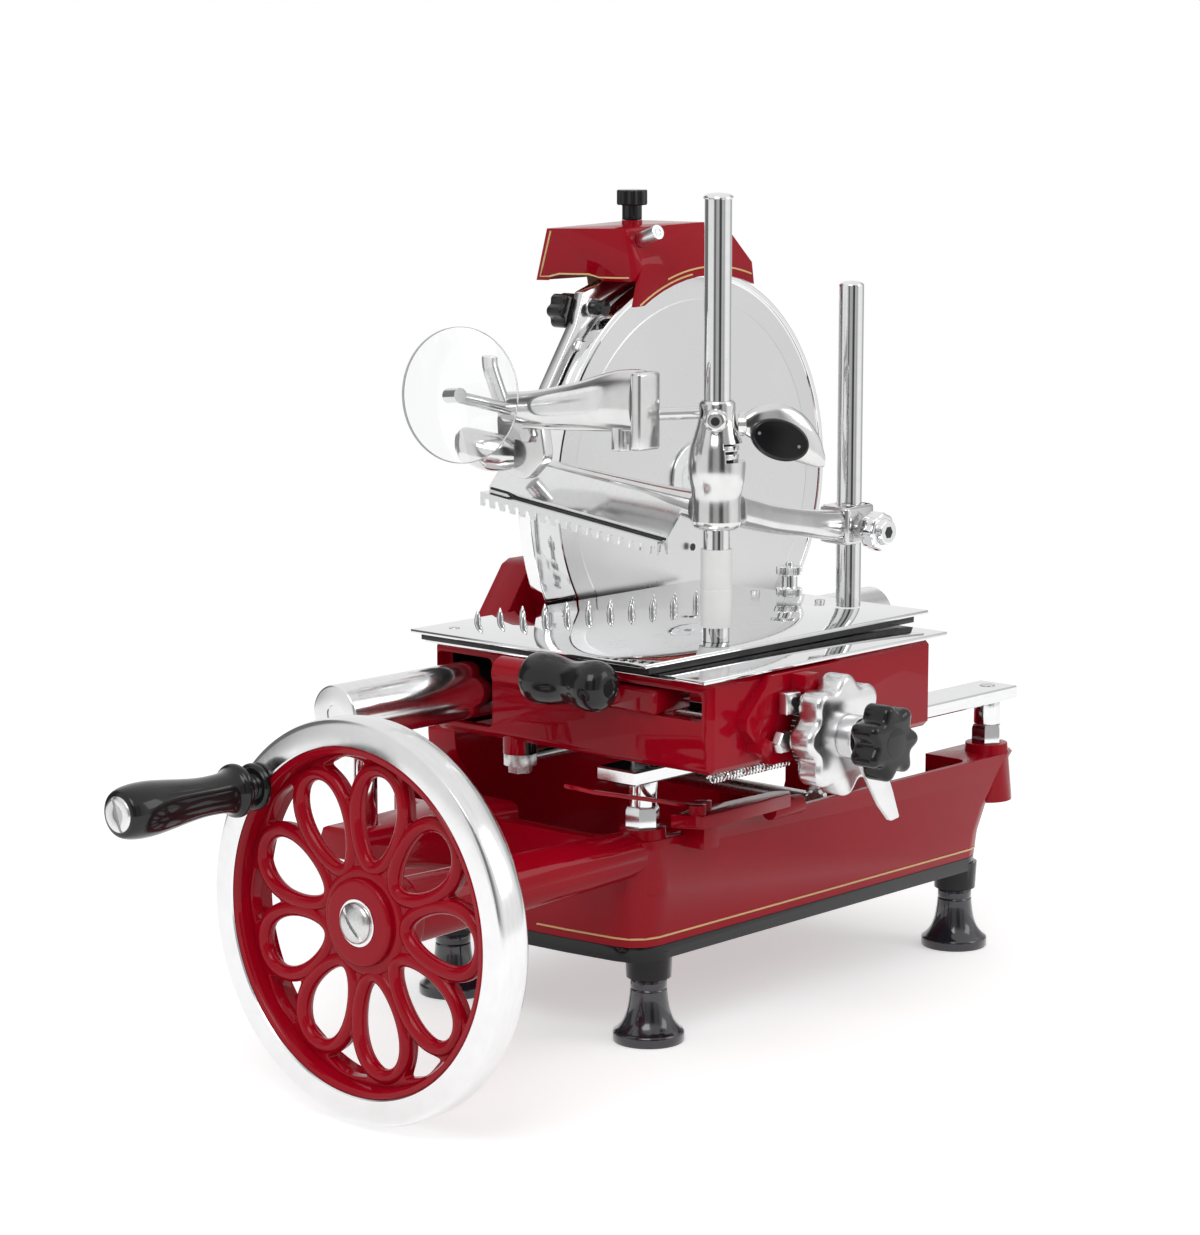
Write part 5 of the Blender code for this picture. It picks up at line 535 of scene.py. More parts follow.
def hex_head(at, direction, radius, height, turn=0.0, washer=0.0):
    """A chamfered hexagon head that grows from a point along a direction."""
    rings = []
    for scale, level in ((1.0, 0.0), (1.0, height * 0.8), (0.9, height)):
        rings.append([(*on_circle((0, 0), radius * scale, turn + 2 * pi * i / 6), level) for i in range(6)])
    mesh = stand(loft(rings), at, direction)
    if washer:
        mesh = together([mesh, cylinder(washer, 0.0008, 0, at, direction, steps=32)])
    return mesh


def lobed(radius, depth, lobes, thickness, at, direction, bead, steps=12, power=1.6):
    """A knob whose outline has round lobes."""
    outline = []
    for i in range(lobes * steps):
        angle = 2 * pi * i / (lobes * steps)
        outline.append(on_circle((0, 0), radius - depth * (0.5 - 0.5 * cos(lobes * angle)) ** power, angle))
    return stand(plate([outline], "Z", 0, thickness, bead, 4), at, direction)


def screw_slot(half_depth, half_width, at, turn):
    """A tool that cuts a screwdriver's slot right across a head that faces OUT."""
    mesh = box((-half_depth, -half_width, -0.02), (half_depth, half_width, 0.02))
    mesh.transform(Matrix.Translation(at) @ Matrix.Rotation(radians(turn), 4, "X"))
    return mesh


def carve(obj, tool):
    """Cuts a closed mesh in design coordinates out of a piece."""
    tool.transform(Matrix.Translation(SHIFT))
    helper = bpy.data.objects.new("tool", tool)
    scene.collection.objects.link(helper)
    modifier = obj.modifiers.new("cut", "BOOLEAN")
    modifier.object = helper
    modifier.operation = "DIFFERENCE"
    modifier.solver = "EXACT"
    bpy.context.view_layer.update()
    mesh = evaluated_mesh(obj)
    obj.modifiers.clear()
    obj.data = mesh
    bpy.data.objects.remove(helper)


# Shading of the CAD nodes that stay
WELD_REACH = 0.00001
FLAT_ANGLE = radians(0.5)
EDGE_SEGMENTS = 3


def smoothing_group(name, angle):
    """A node group that shades smooth, apart from edges sharper than an angle."""
    group = bpy.data.node_groups.new(name, "GeometryNodeTree")
    for way in ("INPUT", "OUTPUT"):
        group.interface.new_socket("Geometry", in_out=way, socket_type="NodeSocketGeometry")
    start = add_node(group, "NodeGroupInput").outputs[0]
    smooth = add_node(group, "GeometryNodeSetShadeSmooth", links={"Geometry": start})
    edge = add_node(group, "GeometryNodeInputMeshEdgeAngle").outputs["Unsigned Angle"]
    above = add_node(group, "FunctionNodeCompare", {"B": angle}, {"A": edge})
    links = {"Geometry": smooth.outputs["Geometry"], "Selection": above.outputs["Result"]}
    sharp = add_node(group, "GeometryNodeSetShadeSmooth", {"Shade Smooth": False}, links, domain="EDGE")
    add_node(group, "NodeGroupOutput", links={0: sharp.outputs["Geometry"]})
    return group


SMOOTH = {angle: smoothing_group("smooth_%d" % angle, radians(angle)) for angle in (30, 45, 60)}


def dress(node, material, bevel, angle):
    """Gives a CAD node its material, round edges and smooth shading."""
    obj = NODES[node]
    obj.data.materials.clear()
    obj.data.materials.append(M[material])
    weld = obj.modifiers.new("weld", "WELD")
    weld.merge_threshold = WELD_REACH
    if bevel:
        flat = obj.modifiers.new("flat", "DECIMATE")
        flat.decimate_type = "DISSOLVE"
        flat.angle_limit = FLAT_ANGLE
        edges = obj.modifiers.new("edges", "BEVEL")
        edges.width = bevel
        edges.segments = EDGE_SEGMENTS
        edges.limit_method = "ANGLE"
        edges.angle_limit = radians(angle)
    shade = obj.modifiers.new("shade", "NODES")
    shade.node_group = SMOOTH[angle]


DRESS = {
    "base_casting": ("red_enamel", 0.0022, 45), "base_plate": ("black_enamel", 0.0008, 45),
    "blade_column": ("red_enamel", 0.002, 45), "sharpener_cover": ("red_enamel", 0.001, 30),
    "carriage_casting": ("carriage_red_hollow_shade", 0.0014, 30), "feed_rocker": ("red_enamel", 0.0008, 45),
    "feed_lever": ("red_enamel", 0, 45), "front_bar": ("polished_steel", 0, 30),
    "carriage_cover": ("table", 0.0004, 30), "tooth_plate": ("polished_steel", 0, 30),
    "sharpener_bracket": ("casting", 0.0012, 30), "connecting_rod": ("brushed_steel", 0.0004, 45),
    "drive_chain": ("brushed_steel", 0, 45), "blade_bearing": ("bronze", 0, 45),
    "axle_bush": ("bronze", 0, 45), "rail_bush": ("bronze", 0, 45), "flywheel_axle": ("brushed_steel", 0, 45),
    "cross_shaft": ("brushed_steel", 0, 45), "drive_bevel_gear": ("brushed_steel", 0, 30),
    "cross_bevel_gear": ("brushed_steel", 0, 30), "blade_shaft": ("brushed_steel", 0, 45),
    "rail_post_left": ("chrome_plate", 0, 45), "rail_post_right": ("chrome_plate", 0, 45),
    "grinding_stone": ("abrasive", 0.0005, 45), "feed_spring": ("polished_steel", 0, 60),
}


# Painted lines, and grooves drawn as painted shade, which follow the CAD nodes' surfaces
LINE_STEP = 0.008
LINE_RADIUS = 0.0007
HOOD_FACE = -0.0142
BASE_LINE_LEVEL = 0.0762
BASE_NEAR = -0.164
BASE_CORNER = 0.022


def painted_line(name, node, route, body="frame", slot="red_enamel", material="gold", radius=LINE_RADIUS):
    """A thin line that follows a CAD node's surface along a route."""
    bpy.context.view_layer.update()
    obj = NODES[node]
    corners = [obj.matrix_world @ vertex.co for vertex in obj.data.vertices]
    surface = BVHTree.FromPolygons(corners, [tuple(face.vertices) for face in obj.data.polygons])
    points = []
    for first, second in zip(route, route[1:]):
        first, second = Vector(first), Vector(second)
        steps = max(int((second - first).length / LINE_STEP), 1)
        points += [first.lerp(second, k / steps) for k in range(steps)]
    points.append(Vector(route[-1]))
    points = [surface.find_nearest(point + SHIFT)[0] - SHIFT for point in points]
    finish(tube(points, radius, sides=8), name, body, slot, material)


def make_lines():
    painted_line("hood_line_side", "sharpener_cover",
                 ((-0.107, 0.0475, 0.5395), (-0.0985, 0.066, 0.5052), (-0.0842, -0.0085, 0.5062)))
    for name, radius, low, high in (("lower", 0.1552, -0.0785, -0.02), ("upper", 0.1588, -0.0476, 0.048)):
        start = atan2(sqrt(radius ** 2 - low ** 2), low)
        end = atan2(sqrt(radius ** 2 - high ** 2), high)
        route = [(x, HOOD_FACE, z) for x, z in arc((0, BLADE_HEIGHT), radius, start, end, 24)]
        painted_line("hood_line_" + name, "sharpener_cover", route)
    route = [(-0.275, 0.04)]
    for x, quarter in ((-0.253, 2), (0.1, 3)):
        route += arc((x, BASE_NEAR), BASE_CORNER, quarter * pi / 2, (quarter + 1) * pi / 2, 8)
    route.append((0.122, 0.04))
    painted_line("base_line", "base_casting", [(x, y, BASE_LINE_LEVEL) for x, y in route])
    # Painted shade: two dark lines on the tooth plate stand in for its grooves
    for i, lift in enumerate((0.0078, 0.0112)):
        route = ((-0.24, -0.016, 0.356 + lift), (-0.24, -0.176, 0.3362 + lift))
        painted_line("tooth_groove_shade_%d" % i, "tooth_plate", route, "press", "polished_steel", "dark", 0.001)


# Flywheel
RIM_EDGE = 0.1115
RIM_BACK = 0.013
PETALS = 9
PETAL_SET_BACK = 0.0095
PETAL_TUBE = 0.0052
PETAL_MIDDLE = 0.067
PETAL_HALF_LENGTH = 0.0285
PETAL_HALF_WIDTH = 0.0165
PETAL_SWELL = 0.22


def make_rim():
    profile = [(RIM_EDGE, -0.0302), (RIM_EDGE, -0.0008), (0.1123, 0), (0.125, 0), (0.1268, -0.0004),
               (0.1282, -0.0016), (WHEEL_RADIUS, -0.004), (WHEEL_RADIUS, -0.017)]
    profile += [(WHEEL_RADIUS - RIM_BACK * (1 - cos(a)), -0.017 - RIM_BACK * sin(a))
                for a in (0.2, 0.4, 0.6, 0.8, 1.0, 1.2, 1.4, pi / 2)]
    finish(turned(profile, WHEEL, OUT, 200), "wheel_rim", "flywheel", "polished_steel", "rim",
           ("flywheel_rim",), 30)


def petal(angle, grow, steps):
    """An egg-shaped loop that points out from the wheel's centre."""
    points = []
    for i in range(steps):
        along, across = on_circle((0, 0), 1, 2 * pi * i / steps)
        radial = PETAL_MIDDLE + (PETAL_HALF_LENGTH + grow) * along
        side = (PETAL_HALF_WIDTH + grow) * across * (1 + PETAL_SWELL * along)
        points.append((WHEEL[1] + radial * cos(angle) - side * sin(angle),
                       WHEEL[2] + radial * sin(angle) + side * cos(angle)))
    return points


def make_spider():
    middle = WHEEL_FRONT + PETAL_SET_BACK
    band = [(0.1113, -0.029), (0.1113, -0.0012), (0.1104, -0.0004), (0.1074, -0.001), (0.1058, -0.003),
            (0.1052, -0.029)]
    pieces = [turned(band, WHEEL, OUT, 200)]
    outlines = [circle(0.1062, 180, WHEEL[1:])]
    narrow, wide = radians(4.6), radians(10.5)
    for i in range(PETALS):
        angle = pi + 2 * pi * i / PETALS
        outlines.append(petal(angle, 0.0012, 56))
        between = angle + pi / PETALS
        window = ((0.077, 0, 0.0014), (0.09, -narrow, 0.01), (0.101, -wide, 0.0022), (0.1052, 0, 0.03),
                  (0.101, wide, 0.0022), (0.09, narrow, 0.01))
        corners = [(*on_circle(WHEEL[1:], reach, between + off), soft) for reach, off, soft in window]
        outlines.append(soft_loop(corners, 0.002))
        ring = [(middle, y, z) for y, z in petal(angle, 0.004, 72)]
        pieces.append(tube(ring, PETAL_TUBE, True, 20))
    pieces.append(plate(outlines, "X", middle - 0.003, middle + 0.006, 0.0014))
    hub = rounded([(0, 0), (0.0285, 0), (0.0275, -0.034), (0, -0.034)], 0.0035, 6)
    boss = rounded([(0, -0.0045), (0.035, -0.0045), (0.0375, -0.016), (0, -0.016)], 0.004, 5)
    pieces += [turned(profile, WHEEL_FACE, OUT) for profile in (hub, boss)]
    finish(pieces, "wheel_petals", "flywheel", "red_enamel", None, ("flywheel_spider",), 40)


def make_wheel_screw():
    head = WHEEL_FRONT - 0.0003
    radius, edge, rise = 0.0133, 0.001, 0.0052
    dome = [(0, edge + rise)]
    dome += [(radius * sin(pi / 2 * k / 9), edge + rise * cos(pi / 2 * k / 9)) for k in range(1, 10)]
    dome += [(radius, 0), (0, 0)]
    screw = finish(turned(dome, (head, *WHEEL[1:]), OUT, 64), "wheel_screw", "flywheel", "brushed_steel",
                   nodes=("flywheel_screw",))
    carve(screw, screw_slot(0.003, 0.00125, (head - edge - rise, *WHEEL[1:]), -40))
    washer = cylinder(0.0152, 0.0006, 0, WHEEL_FACE, OUT, 0.0004, 64)
    finish(washer, "wheel_screw_washer", "flywheel", "polished_steel")


CRANK_Y = -0.0812
CRANK_Z = 0.2084
CRANK_END = 0.1154
GRIP_FOOT = 0.015
GRIP_REACH = 0.0988
GRIP_BORE = 0.0058


def make_crank():
    at = (WHEEL[0], CRANK_Y, CRANK_Z)
    profile = [(0, CRANK_END), (0.0098, CRANK_END), (0.0112, 0.1147), (0.0115, 0.1134), (0.0115, 0.111),
               (0.0055, 0.111), (0.0055, 0.0146), (0.0086, 0.0146), (0.0086, 0.0058), (0, 0.0058)]
    stud = turned(rounded(profile, 0.0007, 3), at, OUT, 64)
    stud = finish(stud, "crank_stud", "flywheel", "brushed_steel", "satin", ("crank_pin",))
    collar = rounded([(0, 0.0058), (0.0135, 0.0058), (0.0152, 0.004), (0.0152, 0.0004), (0, 0.0004)],
                     0.0012)
    finish(turned(collar, at, OUT, 64), "crank_collar", "flywheel", "brushed_steel", "black_handle")
    carve(stud, screw_slot(0.0014, 0.0009, (WHEEL[0] - CRANK_END, CRANK_Y, CRANK_Z), -18))
    shares = ((0.0, 0.0155), (0.025, 0.0172), (0.055, 0.017), (0.08, 0.0148), (0.13, 0.0132),
              (0.22, 0.0126), (0.34, 0.0128), (0.48, 0.0142), (0.62, 0.016), (0.75, 0.0173),
              (0.86, 0.0174), (0.94, 0.0165), (0.985, 0.015), (1.0, 0.0134))
    profile = smooth_profile([(radius, GRIP_FOOT + GRIP_REACH * share) for share, radius in shares])[::-1]
    profile += [(GRIP_BORE, GRIP_FOOT), (GRIP_BORE, GRIP_FOOT + GRIP_REACH)]
    finish(turned(profile, at, OUT, 72), "crank_handle_grip", "crank_handle", "black_handle", None,
           ("crank_grip",), 50)


# Blade and guard
HUB_SCREWS_AT = 0.0205
GUARD_INNER = 0.1516
GUARD_OUTER = 0.156
GUARD_WIDENING = 0.025
GUARD_WIDENS_FROM = radians(148)
GUARD_WIDENS_OVER = radians(24)
GUARD_STEPS = 150
SPOKE_HALF_WIDTH = 0.008


def make_blade():
    profile = [(0, 0), (0.1335, 0), (0.1345, -0.0002), (BLADE_RADIUS, -0.0008), (BLADE_RADIUS, -0.0014),
               (0.134, -0.0035), (0, -0.0035)]
    finish(turned(profile, BLADE_AT, NEAR, 256), "blade_disc", "blade_unit", "polished_steel", "blade",
           ("blade",), 4)
    cap = [(0, 0.0024), (0.016, 0.0024), (0.0185, 0.0028), (0.027, 0.0026), (0.027, 0.0003), (0, 0.0003)]
    pieces = [turned(rounded(cap, 0.0008), BLADE_AT, NEAR),
              hex_head((0, -0.0025, BLADE_HEIGHT), NEAR, 0.0066, 0.0045)]
    screw = rounded([(0, 0.0042), (0.003, 0.0042), (0.0036, 0.0024), (0, 0.0024)], 0.0006)
    for k in range(3):
        x, z = on_circle((0, BLADE_HEIGHT), HUB_SCREWS_AT, radians(90 + 120 * k))
        pieces.append(turned(screw, (x, 0, z), NEAR, 24))
    # Painted shade: dark discs on the blade where its holes are
    holes = [cylinder(0.0028, 0.0037, 0.003, (-0.0058, 0, z), NEAR, steps=32) for z in (0.3, 0.268)]
    finish(holes, "blade_hole_shade", "blade_unit", "polished_steel", "dark")
    finish(pieces, "blade_hub_plate", "blade_unit", "polished_steel", None, ("blade_hub_cap",), 30)


def make_guard():
    centre = (0, BLADE_HEIGHT)
    start, end = radians(-34.0), radians(210.0)
    outer = []
    for i in range(GUARD_STEPS + 1):
        angle = start + (end - start) * i / GUARD_STEPS
        share = min(max((angle - GUARD_WIDENS_FROM) / GUARD_WIDENS_OVER, 0), 1)
        share *= share * (3 - 2 * share)
        outer.append(on_circle(centre, GUARD_OUTER + GUARD_WIDENING * share, angle))
    inner = arc(centre, GUARD_INNER, end, start, GUARD_STEPS)
    ring = [circle(0.044, 96, centre), circle(0.021, 64, centre)]
    pieces = [plate([outer + inner], "Y", 0.0003, 0.0123, 0.0009)]
    pieces.append(plate(ring, "Y", 0.0093, 0.0123, 0.0004, 2))
    ends = ((0.042, 1), (0.1536, 1), (0.1536, -1), (0.042, -1))
    for angle in (radians(20), radians(140), radians(260)):
        c, s = cos(angle), sin(angle)
        spoke = [(r * c - side * SPOKE_HALF_WIDTH * s, BLADE_HEIGHT + r * s + side * SPOKE_HALF_WIDTH * c)
                 for r, side in ends]
        pieces.append(plate([spoke], "Y", 0.0096, 0.012, 0.0004, 2))
        x, z = on_circle(centre, 0.036, angle)
        pieces.append(cylinder(0.005, 0.0116, 0, (x, 0.0121, z), Y, steps=32))
    finish(pieces, "guard_ring", "frame", "chrome_plate", None, ("blade_guard",), 30)


# Feet, slides and posts
LEFT_FEET, RIGHT_FEET = -0.2456, 0.1057
NEAR_FEET, FAR_FEET = -0.17, 0.017
RAIL_LEFT, RAIL_RIGHT = -0.412, 0.173
PILLARS = (("left", -0.2505), ("right", 0.1454))
PILLAR_Y = -0.1685
PILLAR_SEAT = 0.1506
BAR_TOP = 0.1939
POST_FOOT = 0.2763


def make_feet():
    bell = smooth_profile(((0.0128, 0.0365), (0.0134, 0.03), (0.0149, 0.0215), (0.0176, 0.0145),
                           (0.0212, 0.0098), (0.024, 0.0075)))
    profile = [(0, 0.0447), (0.012, 0.0447), (0.0127, 0.044), (0.0127, 0.0378), (0.0122, 0.0372)] + bell
    profile += [(0.0247, 0.0066), (0.0248, 0.0055), (0.0248, 0.0008), (0.0242, 0), (0, 0)]
    for name, x, y in (("near_left", LEFT_FEET, NEAR_FEET), ("near_right", RIGHT_FEET, NEAR_FEET),
                       ("far_left", LEFT_FEET, FAR_FEET), ("far_right", RIGHT_FEET, FAR_FEET)):
        finish(turned(profile, (x, y, 0), Z, 72), "leg_" + name, "frame", "foot_rubber", None,
               ("foot_" + name,), 45)


def make_slides():
    rod = rounded([(0, RAIL_RIGHT), (0.02, RAIL_RIGHT), (0.02, RAIL_LEFT), (0, RAIL_LEFT)], 0.0018)
    profile = [(0, RAIL_RIGHT - 0.0008), (0.006, RAIL_RIGHT - 0.0008), (0.0066, RAIL_RIGHT)] + rod[1:-1]
    profile += [(0.0066, RAIL_LEFT), (0.006, RAIL_LEFT + 0.0008), (0, RAIL_LEFT + 0.0008)]
    finish(turned(profile, (0, -0.0366, 0.233), X, 128), "slide_rail", "frame", "chrome_plate", "rim",
           ("rear_rail",), 30)
    for side, x in PILLARS:
        at = (x, PILLAR_Y, PILLAR_SEAT)
        nut = hex_head(at, Z, 0.0121, 0.014, radians(30))
        collar = cylinder(0.0088, 0.0146, 0.0136, at, Z, 0.0004)
        neck = cylinder(0.0102, 0.033, 0.0142, at, Z, 0.001, 64)
        finish([nut, collar, neck], "bar_pillar_" + side, "frame", "polished_steel", None,
               ("bar_standoff_" + side,), 30)
        screw = rounded([(0, 0.0006), (0.0056, 0.0006), (0.006, 0), (0, 0)], 0.0003)
        finish(turned(screw, (x, PILLAR_Y, BAR_TOP), Z, 40), "bar_screw_" + side, "frame", "brushed_steel")


def make_posts():
    posts = (("main", POST, 0.0092, 0.0011, 0.577), ("guide", GUIDE, 0.0089, 0, 0.509))
    dome = ((0, 0), (0.55, 0.0005), (0.85, 0.0014), (0.97, 0.0024), (1, 0.0034))
    for name, at, radius, lip, top in posts:
        profile = [((radius + lip) * share, top - drop) for share, drop in dome]
        profile += [(radius, top - 0.0044), (radius, POST_FOOT), (0, POST_FOOT)]
        finish(turned(profile, at), "post_" + name, "table", "chrome_plate", None,
               ("press_post_" + name,), 40)
    profile = [(0.0095, 0.339), (0.0107, 0.339), (0.0107, 0.3124), (0.0104, 0.3121), (0.0107, 0.3118),
               (0.0107, 0.286), (0.0095, 0.286)]
    finish(turned(rounded(profile, 0.0003, 2), POST, Z, 80), "post_bush", "table", "nylon", None,
           ("post_sleeve",), 30)


# Sharpener's loose pieces
TOP_KNOB_AT = (-0.045, 0.0236, 0.5459)
BRACKET_FACE = 0.0141


def make_sharpener_parts():
    x, y, seat = TOP_KNOB_AT
    cap = lobed(0.0113, 0.0015, 8, 0.0113, (x, y, seat + 0.0108), Z, 0.0012, 10, 2.4)
    stem = cylinder(0.0074, 0.0112, 0, TOP_KNOB_AT, Z, 0.0004, 64)
    pin = cylinder(0.0045, 0.0002, -0.015, TOP_KNOB_AT, Z, steps=40)
    finish([cap, stem, pin], "top_cap", "lift_knob", "black_handle", None, ("top_knob",))
    start = Vector((-0.0725, -0.0015, 0.5305))
    end = Vector((-0.077, -0.03, 0.54))
    length = (end - start).length
    profile = rounded([(0, length - 0.0006), (0.0022, length - 0.0006), (0.0027, length), (0.0055, length),
                       (0.0055, 0), (0, 0)], 0.0005)
    plunger = turned(profile, start, end - start, 56)
    finish(plunger, "plunger", "pin", "brushed_steel", "satin", ("push_pin",), 30)
    bolt_at = (-0.0985, BRACKET_FACE, 0.4845)
    nuts = [hex_head((-0.113, BRACKET_FACE, 0.456), NEAR, 0.0058, 0.0052, washer=0.007),
            cylinder(0.0072, 0.001, 0, bolt_at, NEAR, 0.0003, 32)]
    finish(nuts, "bracket_nuts", "frame", "chrome_plate", "satin")
    bolt = cylinder(0.0056, 0.0125, 0.001, bolt_at, NEAR, 0.0008, 40)
    finish(bolt, "bracket_bolt", "frame", "chrome_plate", "black_handle")
    knob = lobed(0.0135, 0.0027, 6, 0.014, (-0.11, 0.038, 0.482), NEAR, 0.0016)
    finish(knob, "stone_screw_knob", "stone_screw", "black_handle", None, ("stone_knob",))


def make_shield():
    disc = cylinder(SHIELD_RADIUS, 0.00125, -0.00125, SHIELD_AT, SHIELD_AXIS, 0.0003, 128)
    finish(disc, "hand_shield", "press", "clear_plastic", None, ("guard_disc",), 30)
    edge = cylinder(SHIELD_RADIUS + 0.0004, 0.001, -0.001, SHIELD_AT, SHIELD_AXIS, steps=128,
                    bore=SHIELD_RADIUS + 0.0001)
    finish(edge, "hand_shield_edge", "press", "clear_plastic", "disc_edge")


# Carriage's controls
MARKS = 48
LONG_MARK_EVERY = 4
MARK_HALF_WIDTH = 0.00022
LEVER_GRIP = 0.068


def on_dial(y):
    return (DIAL.x, y, DIAL.z)


def make_dial():
    wheel = lobed(0.041, 0.0068, 8, 0.02, on_dial(-0.2784), NEAR, 0.0042, 16, 1.3)
    hub = rounded([(0, 0.0206), (0.0135, 0.0206), (0.0155, 0.019), (0, 0.019)], 0.0006)
    shaft = cylinder(0.006, 0.1611, 0, on_dial(-0.1502), NEAR)
    finish([wheel, turned(hub, on_dial(-0.2784), NEAR, 64), shaft], "hand_wheel_lobed", "hand_wheel",
           "polished_steel", "satin", ("thickness_wheel",))
    ring = [(0.006, 0.006), (0.027, 0.006), (0.0275, 0.0055), (0.0275, 0.0004), (0.027, 0), (0.012, 0),
            (0.012, -0.0037), (0.006, -0.0037)]
    finish(turned(ring, on_dial(-0.27), NEAR, 128), "scale_ring", "carriage", "black_enamel", "dial",
           ("thickness_dial",), 30)
    marks = []
    for k in range(MARKS):
        angle = 2 * pi * k / MARKS
        face, side = (0.0018, 0.0032) if k % LONG_MARK_EVERY else (0.003, 0.0045)
        for low, high, radius, y in (((-0.0003, -face), (0.0003, 0), 0.0266, -0.2761),
                                     ((-side, 0), (0, 0.0002), 0.02745, -0.2702)):
            mark = box((-MARK_HALF_WIDTH, *low), (MARK_HALF_WIDTH, *high))
            spot = (DIAL.x + radius * sin(angle), y, DIAL.z + radius * cos(angle))
            mark.transform(Matrix.Translation(spot) @ Matrix.Rotation(angle, 4, "Y"))
            marks.append(mark)
    finish(marks, "scale_marks", "carriage", "nylon", "mark")


def make_controls():
    block = box((-0.2295, -0.2765, 0.237), (-0.2145, -0.269, 0.252), 0.0012)
    bolt = hex_head((-0.2285, -0.2696, 0.219), NEAR, 0.008, 0.006)
    finish([block, bolt], "panel_block", "carriage", "red_enamel", "satin")
    # Painted shade: a dark disc for the block's hole
    hole = cylinder(0.0032, 0.0003, -0.0005, (-0.222, -0.2765, 0.2455), NEAR, steps=32)
    finish(hole, "panel_block_hole_shade", "carriage", "red_enamel", "dark")
    star = lobed(0.026, 0.0062, 7, 0.022, on_dial(-0.316), NEAR, 0.0048, 16, 1.2)
    neck = cylinder(0.0118, 0.01, 0, on_dial(-0.3116), NEAR, 0.0008)
    finish([star, neck], "feed_star_knob", "feed_screw", "black_handle", None, ("feed_knob",))
    disc = cylinder(0.0102, 0.0004, -0.001, on_dial(-0.3378), NEAR, 0.0003)
    finish(disc, "feed_knob_disc", "feed_screw", "black_handle")
    pivot = Vector((DIAL.x, DIAL.z))
    along = (Vector((-0.155, 0.161)) - pivot).normalized()
    across = Vector((-along.y, along.x))
    edge = ((0.0, 0.0105), (0.03, 0.01), (0.052, 0.008), (0.073, 0.0045), (0.069, -0.0045),
            (0.052, -0.0085), (0.03, -0.01), (0.0, -0.0105))
    blade = [tuple(pivot + along * first + across * second) for first, second in edge]
    pieces = [cylinder(0.0148, 0.0118, 0, on_dial(-0.2991), NEAR, 0.0012, 64),
              plate([soft_loop(blade, 0.002)], "Y", -0.31, -0.3062, 0.0008)]
    finish(pieces, "index_blade", "index", "chrome_plate", "satin", ("index_lever",))
    stations = ((0.00, 0.014), (0.04, 0.0162), (0.1, 0.0172), (0.2, 0.0173), (0.32, 0.0163),
                (0.44, 0.0149), (0.54, 0.0144), (0.64, 0.0152), (0.76, 0.0168), (0.86, 0.0166),
                (0.94, 0.014), (0.985, 0.01), (1.0, 0.0062))
    profile = [(0, LEVER_GRIP - 0.0008), (0.0052, LEVER_GRIP - 0.0008), (0.0058, LEVER_GRIP)]
    profile += smooth_profile([(radius, share * LEVER_GRIP) for share, radius in stations])[::-1]
    grip = turned(profile + [(0, 0)], (-0.335, -0.1458, 0.262), NEAR, 72)
    finish(grip, "feed_grip", "lever", "black_handle", None, ("lever_grip",), 50)


# Meat table
SPIKE = [(0, 0.0105), (0.0004, 0.01), (0.0019, 0.0058), (0.0024, 0.0026), (0.0022, 0), (0.0022, -0.001),
         (0, -0.001)]
SPIKE_ROWS = (((-0.268, -0.031), (-0.1, -0.087), 11), ((-0.256, -0.063), (-0.131, -0.092), 8))
TABLE_SCREWS = ((-0.022, -0.0777), (-0.0236, -0.1399), (-0.29, -0.03), (-0.292, -0.2))
KNURLS = 36


def make_table():
    pieces = [box((-0.313, -0.226, 0.2732), (-0.008, -0.01, TABLE_TOP), 0.0005, 2)]
    # Painted shade: a dark slab under the table top
    underside = box((-0.306, -0.2225, 0.2682), (-0.02, -0.0135, 0.2731), 0.0004, 2)
    finish(underside, "table_underside_shade", "table", "polished_steel", "dark")
    for first, last, count in SPIKE_ROWS:
        for i in range(count):
            spot = Vector(first).lerp(Vector(last), i / (count - 1))
            pieces.append(turned(SPIKE, (*spot, TABLE_TOP), Z, 24))
    finish(pieces, "spiked_table", "table", "polished_steel", "table", ("meat_table",), 60)
    profile = rounded([(0, 0.0001), (0.0016, 0.0001), (0.0018, 0.0004), (0.0036, 0.0004), (0.004, -0.0004),
                       (0, -0.0004)], 0.0002)
    screws = [turned(profile, (x, y, TABLE_TOP), Z, 32) for x, y in TABLE_SCREWS]
    finish(screws, "table_screws", "table", "brushed_steel")
    x, y, z = -0.0239, -0.1114, 0.2763
    knurls = [lobed(0.0095, 0.0005, KNURLS, thickness, (x, y, z + lift), Z, 0.0006, 4)
              for thickness, lift in ((0.0058, 0), (0.0062, 0.0158))]
    waist = rounded([(0, 0.0253), (0.0028, 0.0253), (0.003, 0.0215), (0.0072, 0.0215), (0.006, 0.015),
                     (0.006, 0.0068), (0.0072, 0.0052), (0, 0.0052)], 0.0008)
    finish([*knurls, turned(waist, (x, y, z), Z, 48)], "thumb_screw", "thumb_nut", "polished_steel",
           "chrome_plate", ("table_thumb_nut",), 30)


# Press
PRESS = ("press", "chrome_plate", "casting")
CLAMP_BORE = 0.0096
NOTCH_LOW, NOTCH_HIGH = 0.3985, 0.411
CLAMP_SCREW_AT = POST + Vector((0, 0, 0.427))
CLAMP_SCREW_END = 0.0225
PAD_ALONG = Vector((0.82, -0.57, 0)).normalized()
PAD_OUT = Vector((-0.57, -0.82, 0)).normalized()
PAD_THICKNESS = 0.0068
COLLAR_SCREW_AT = Vector((GUIDE.x, -0.1895, 0.3325))


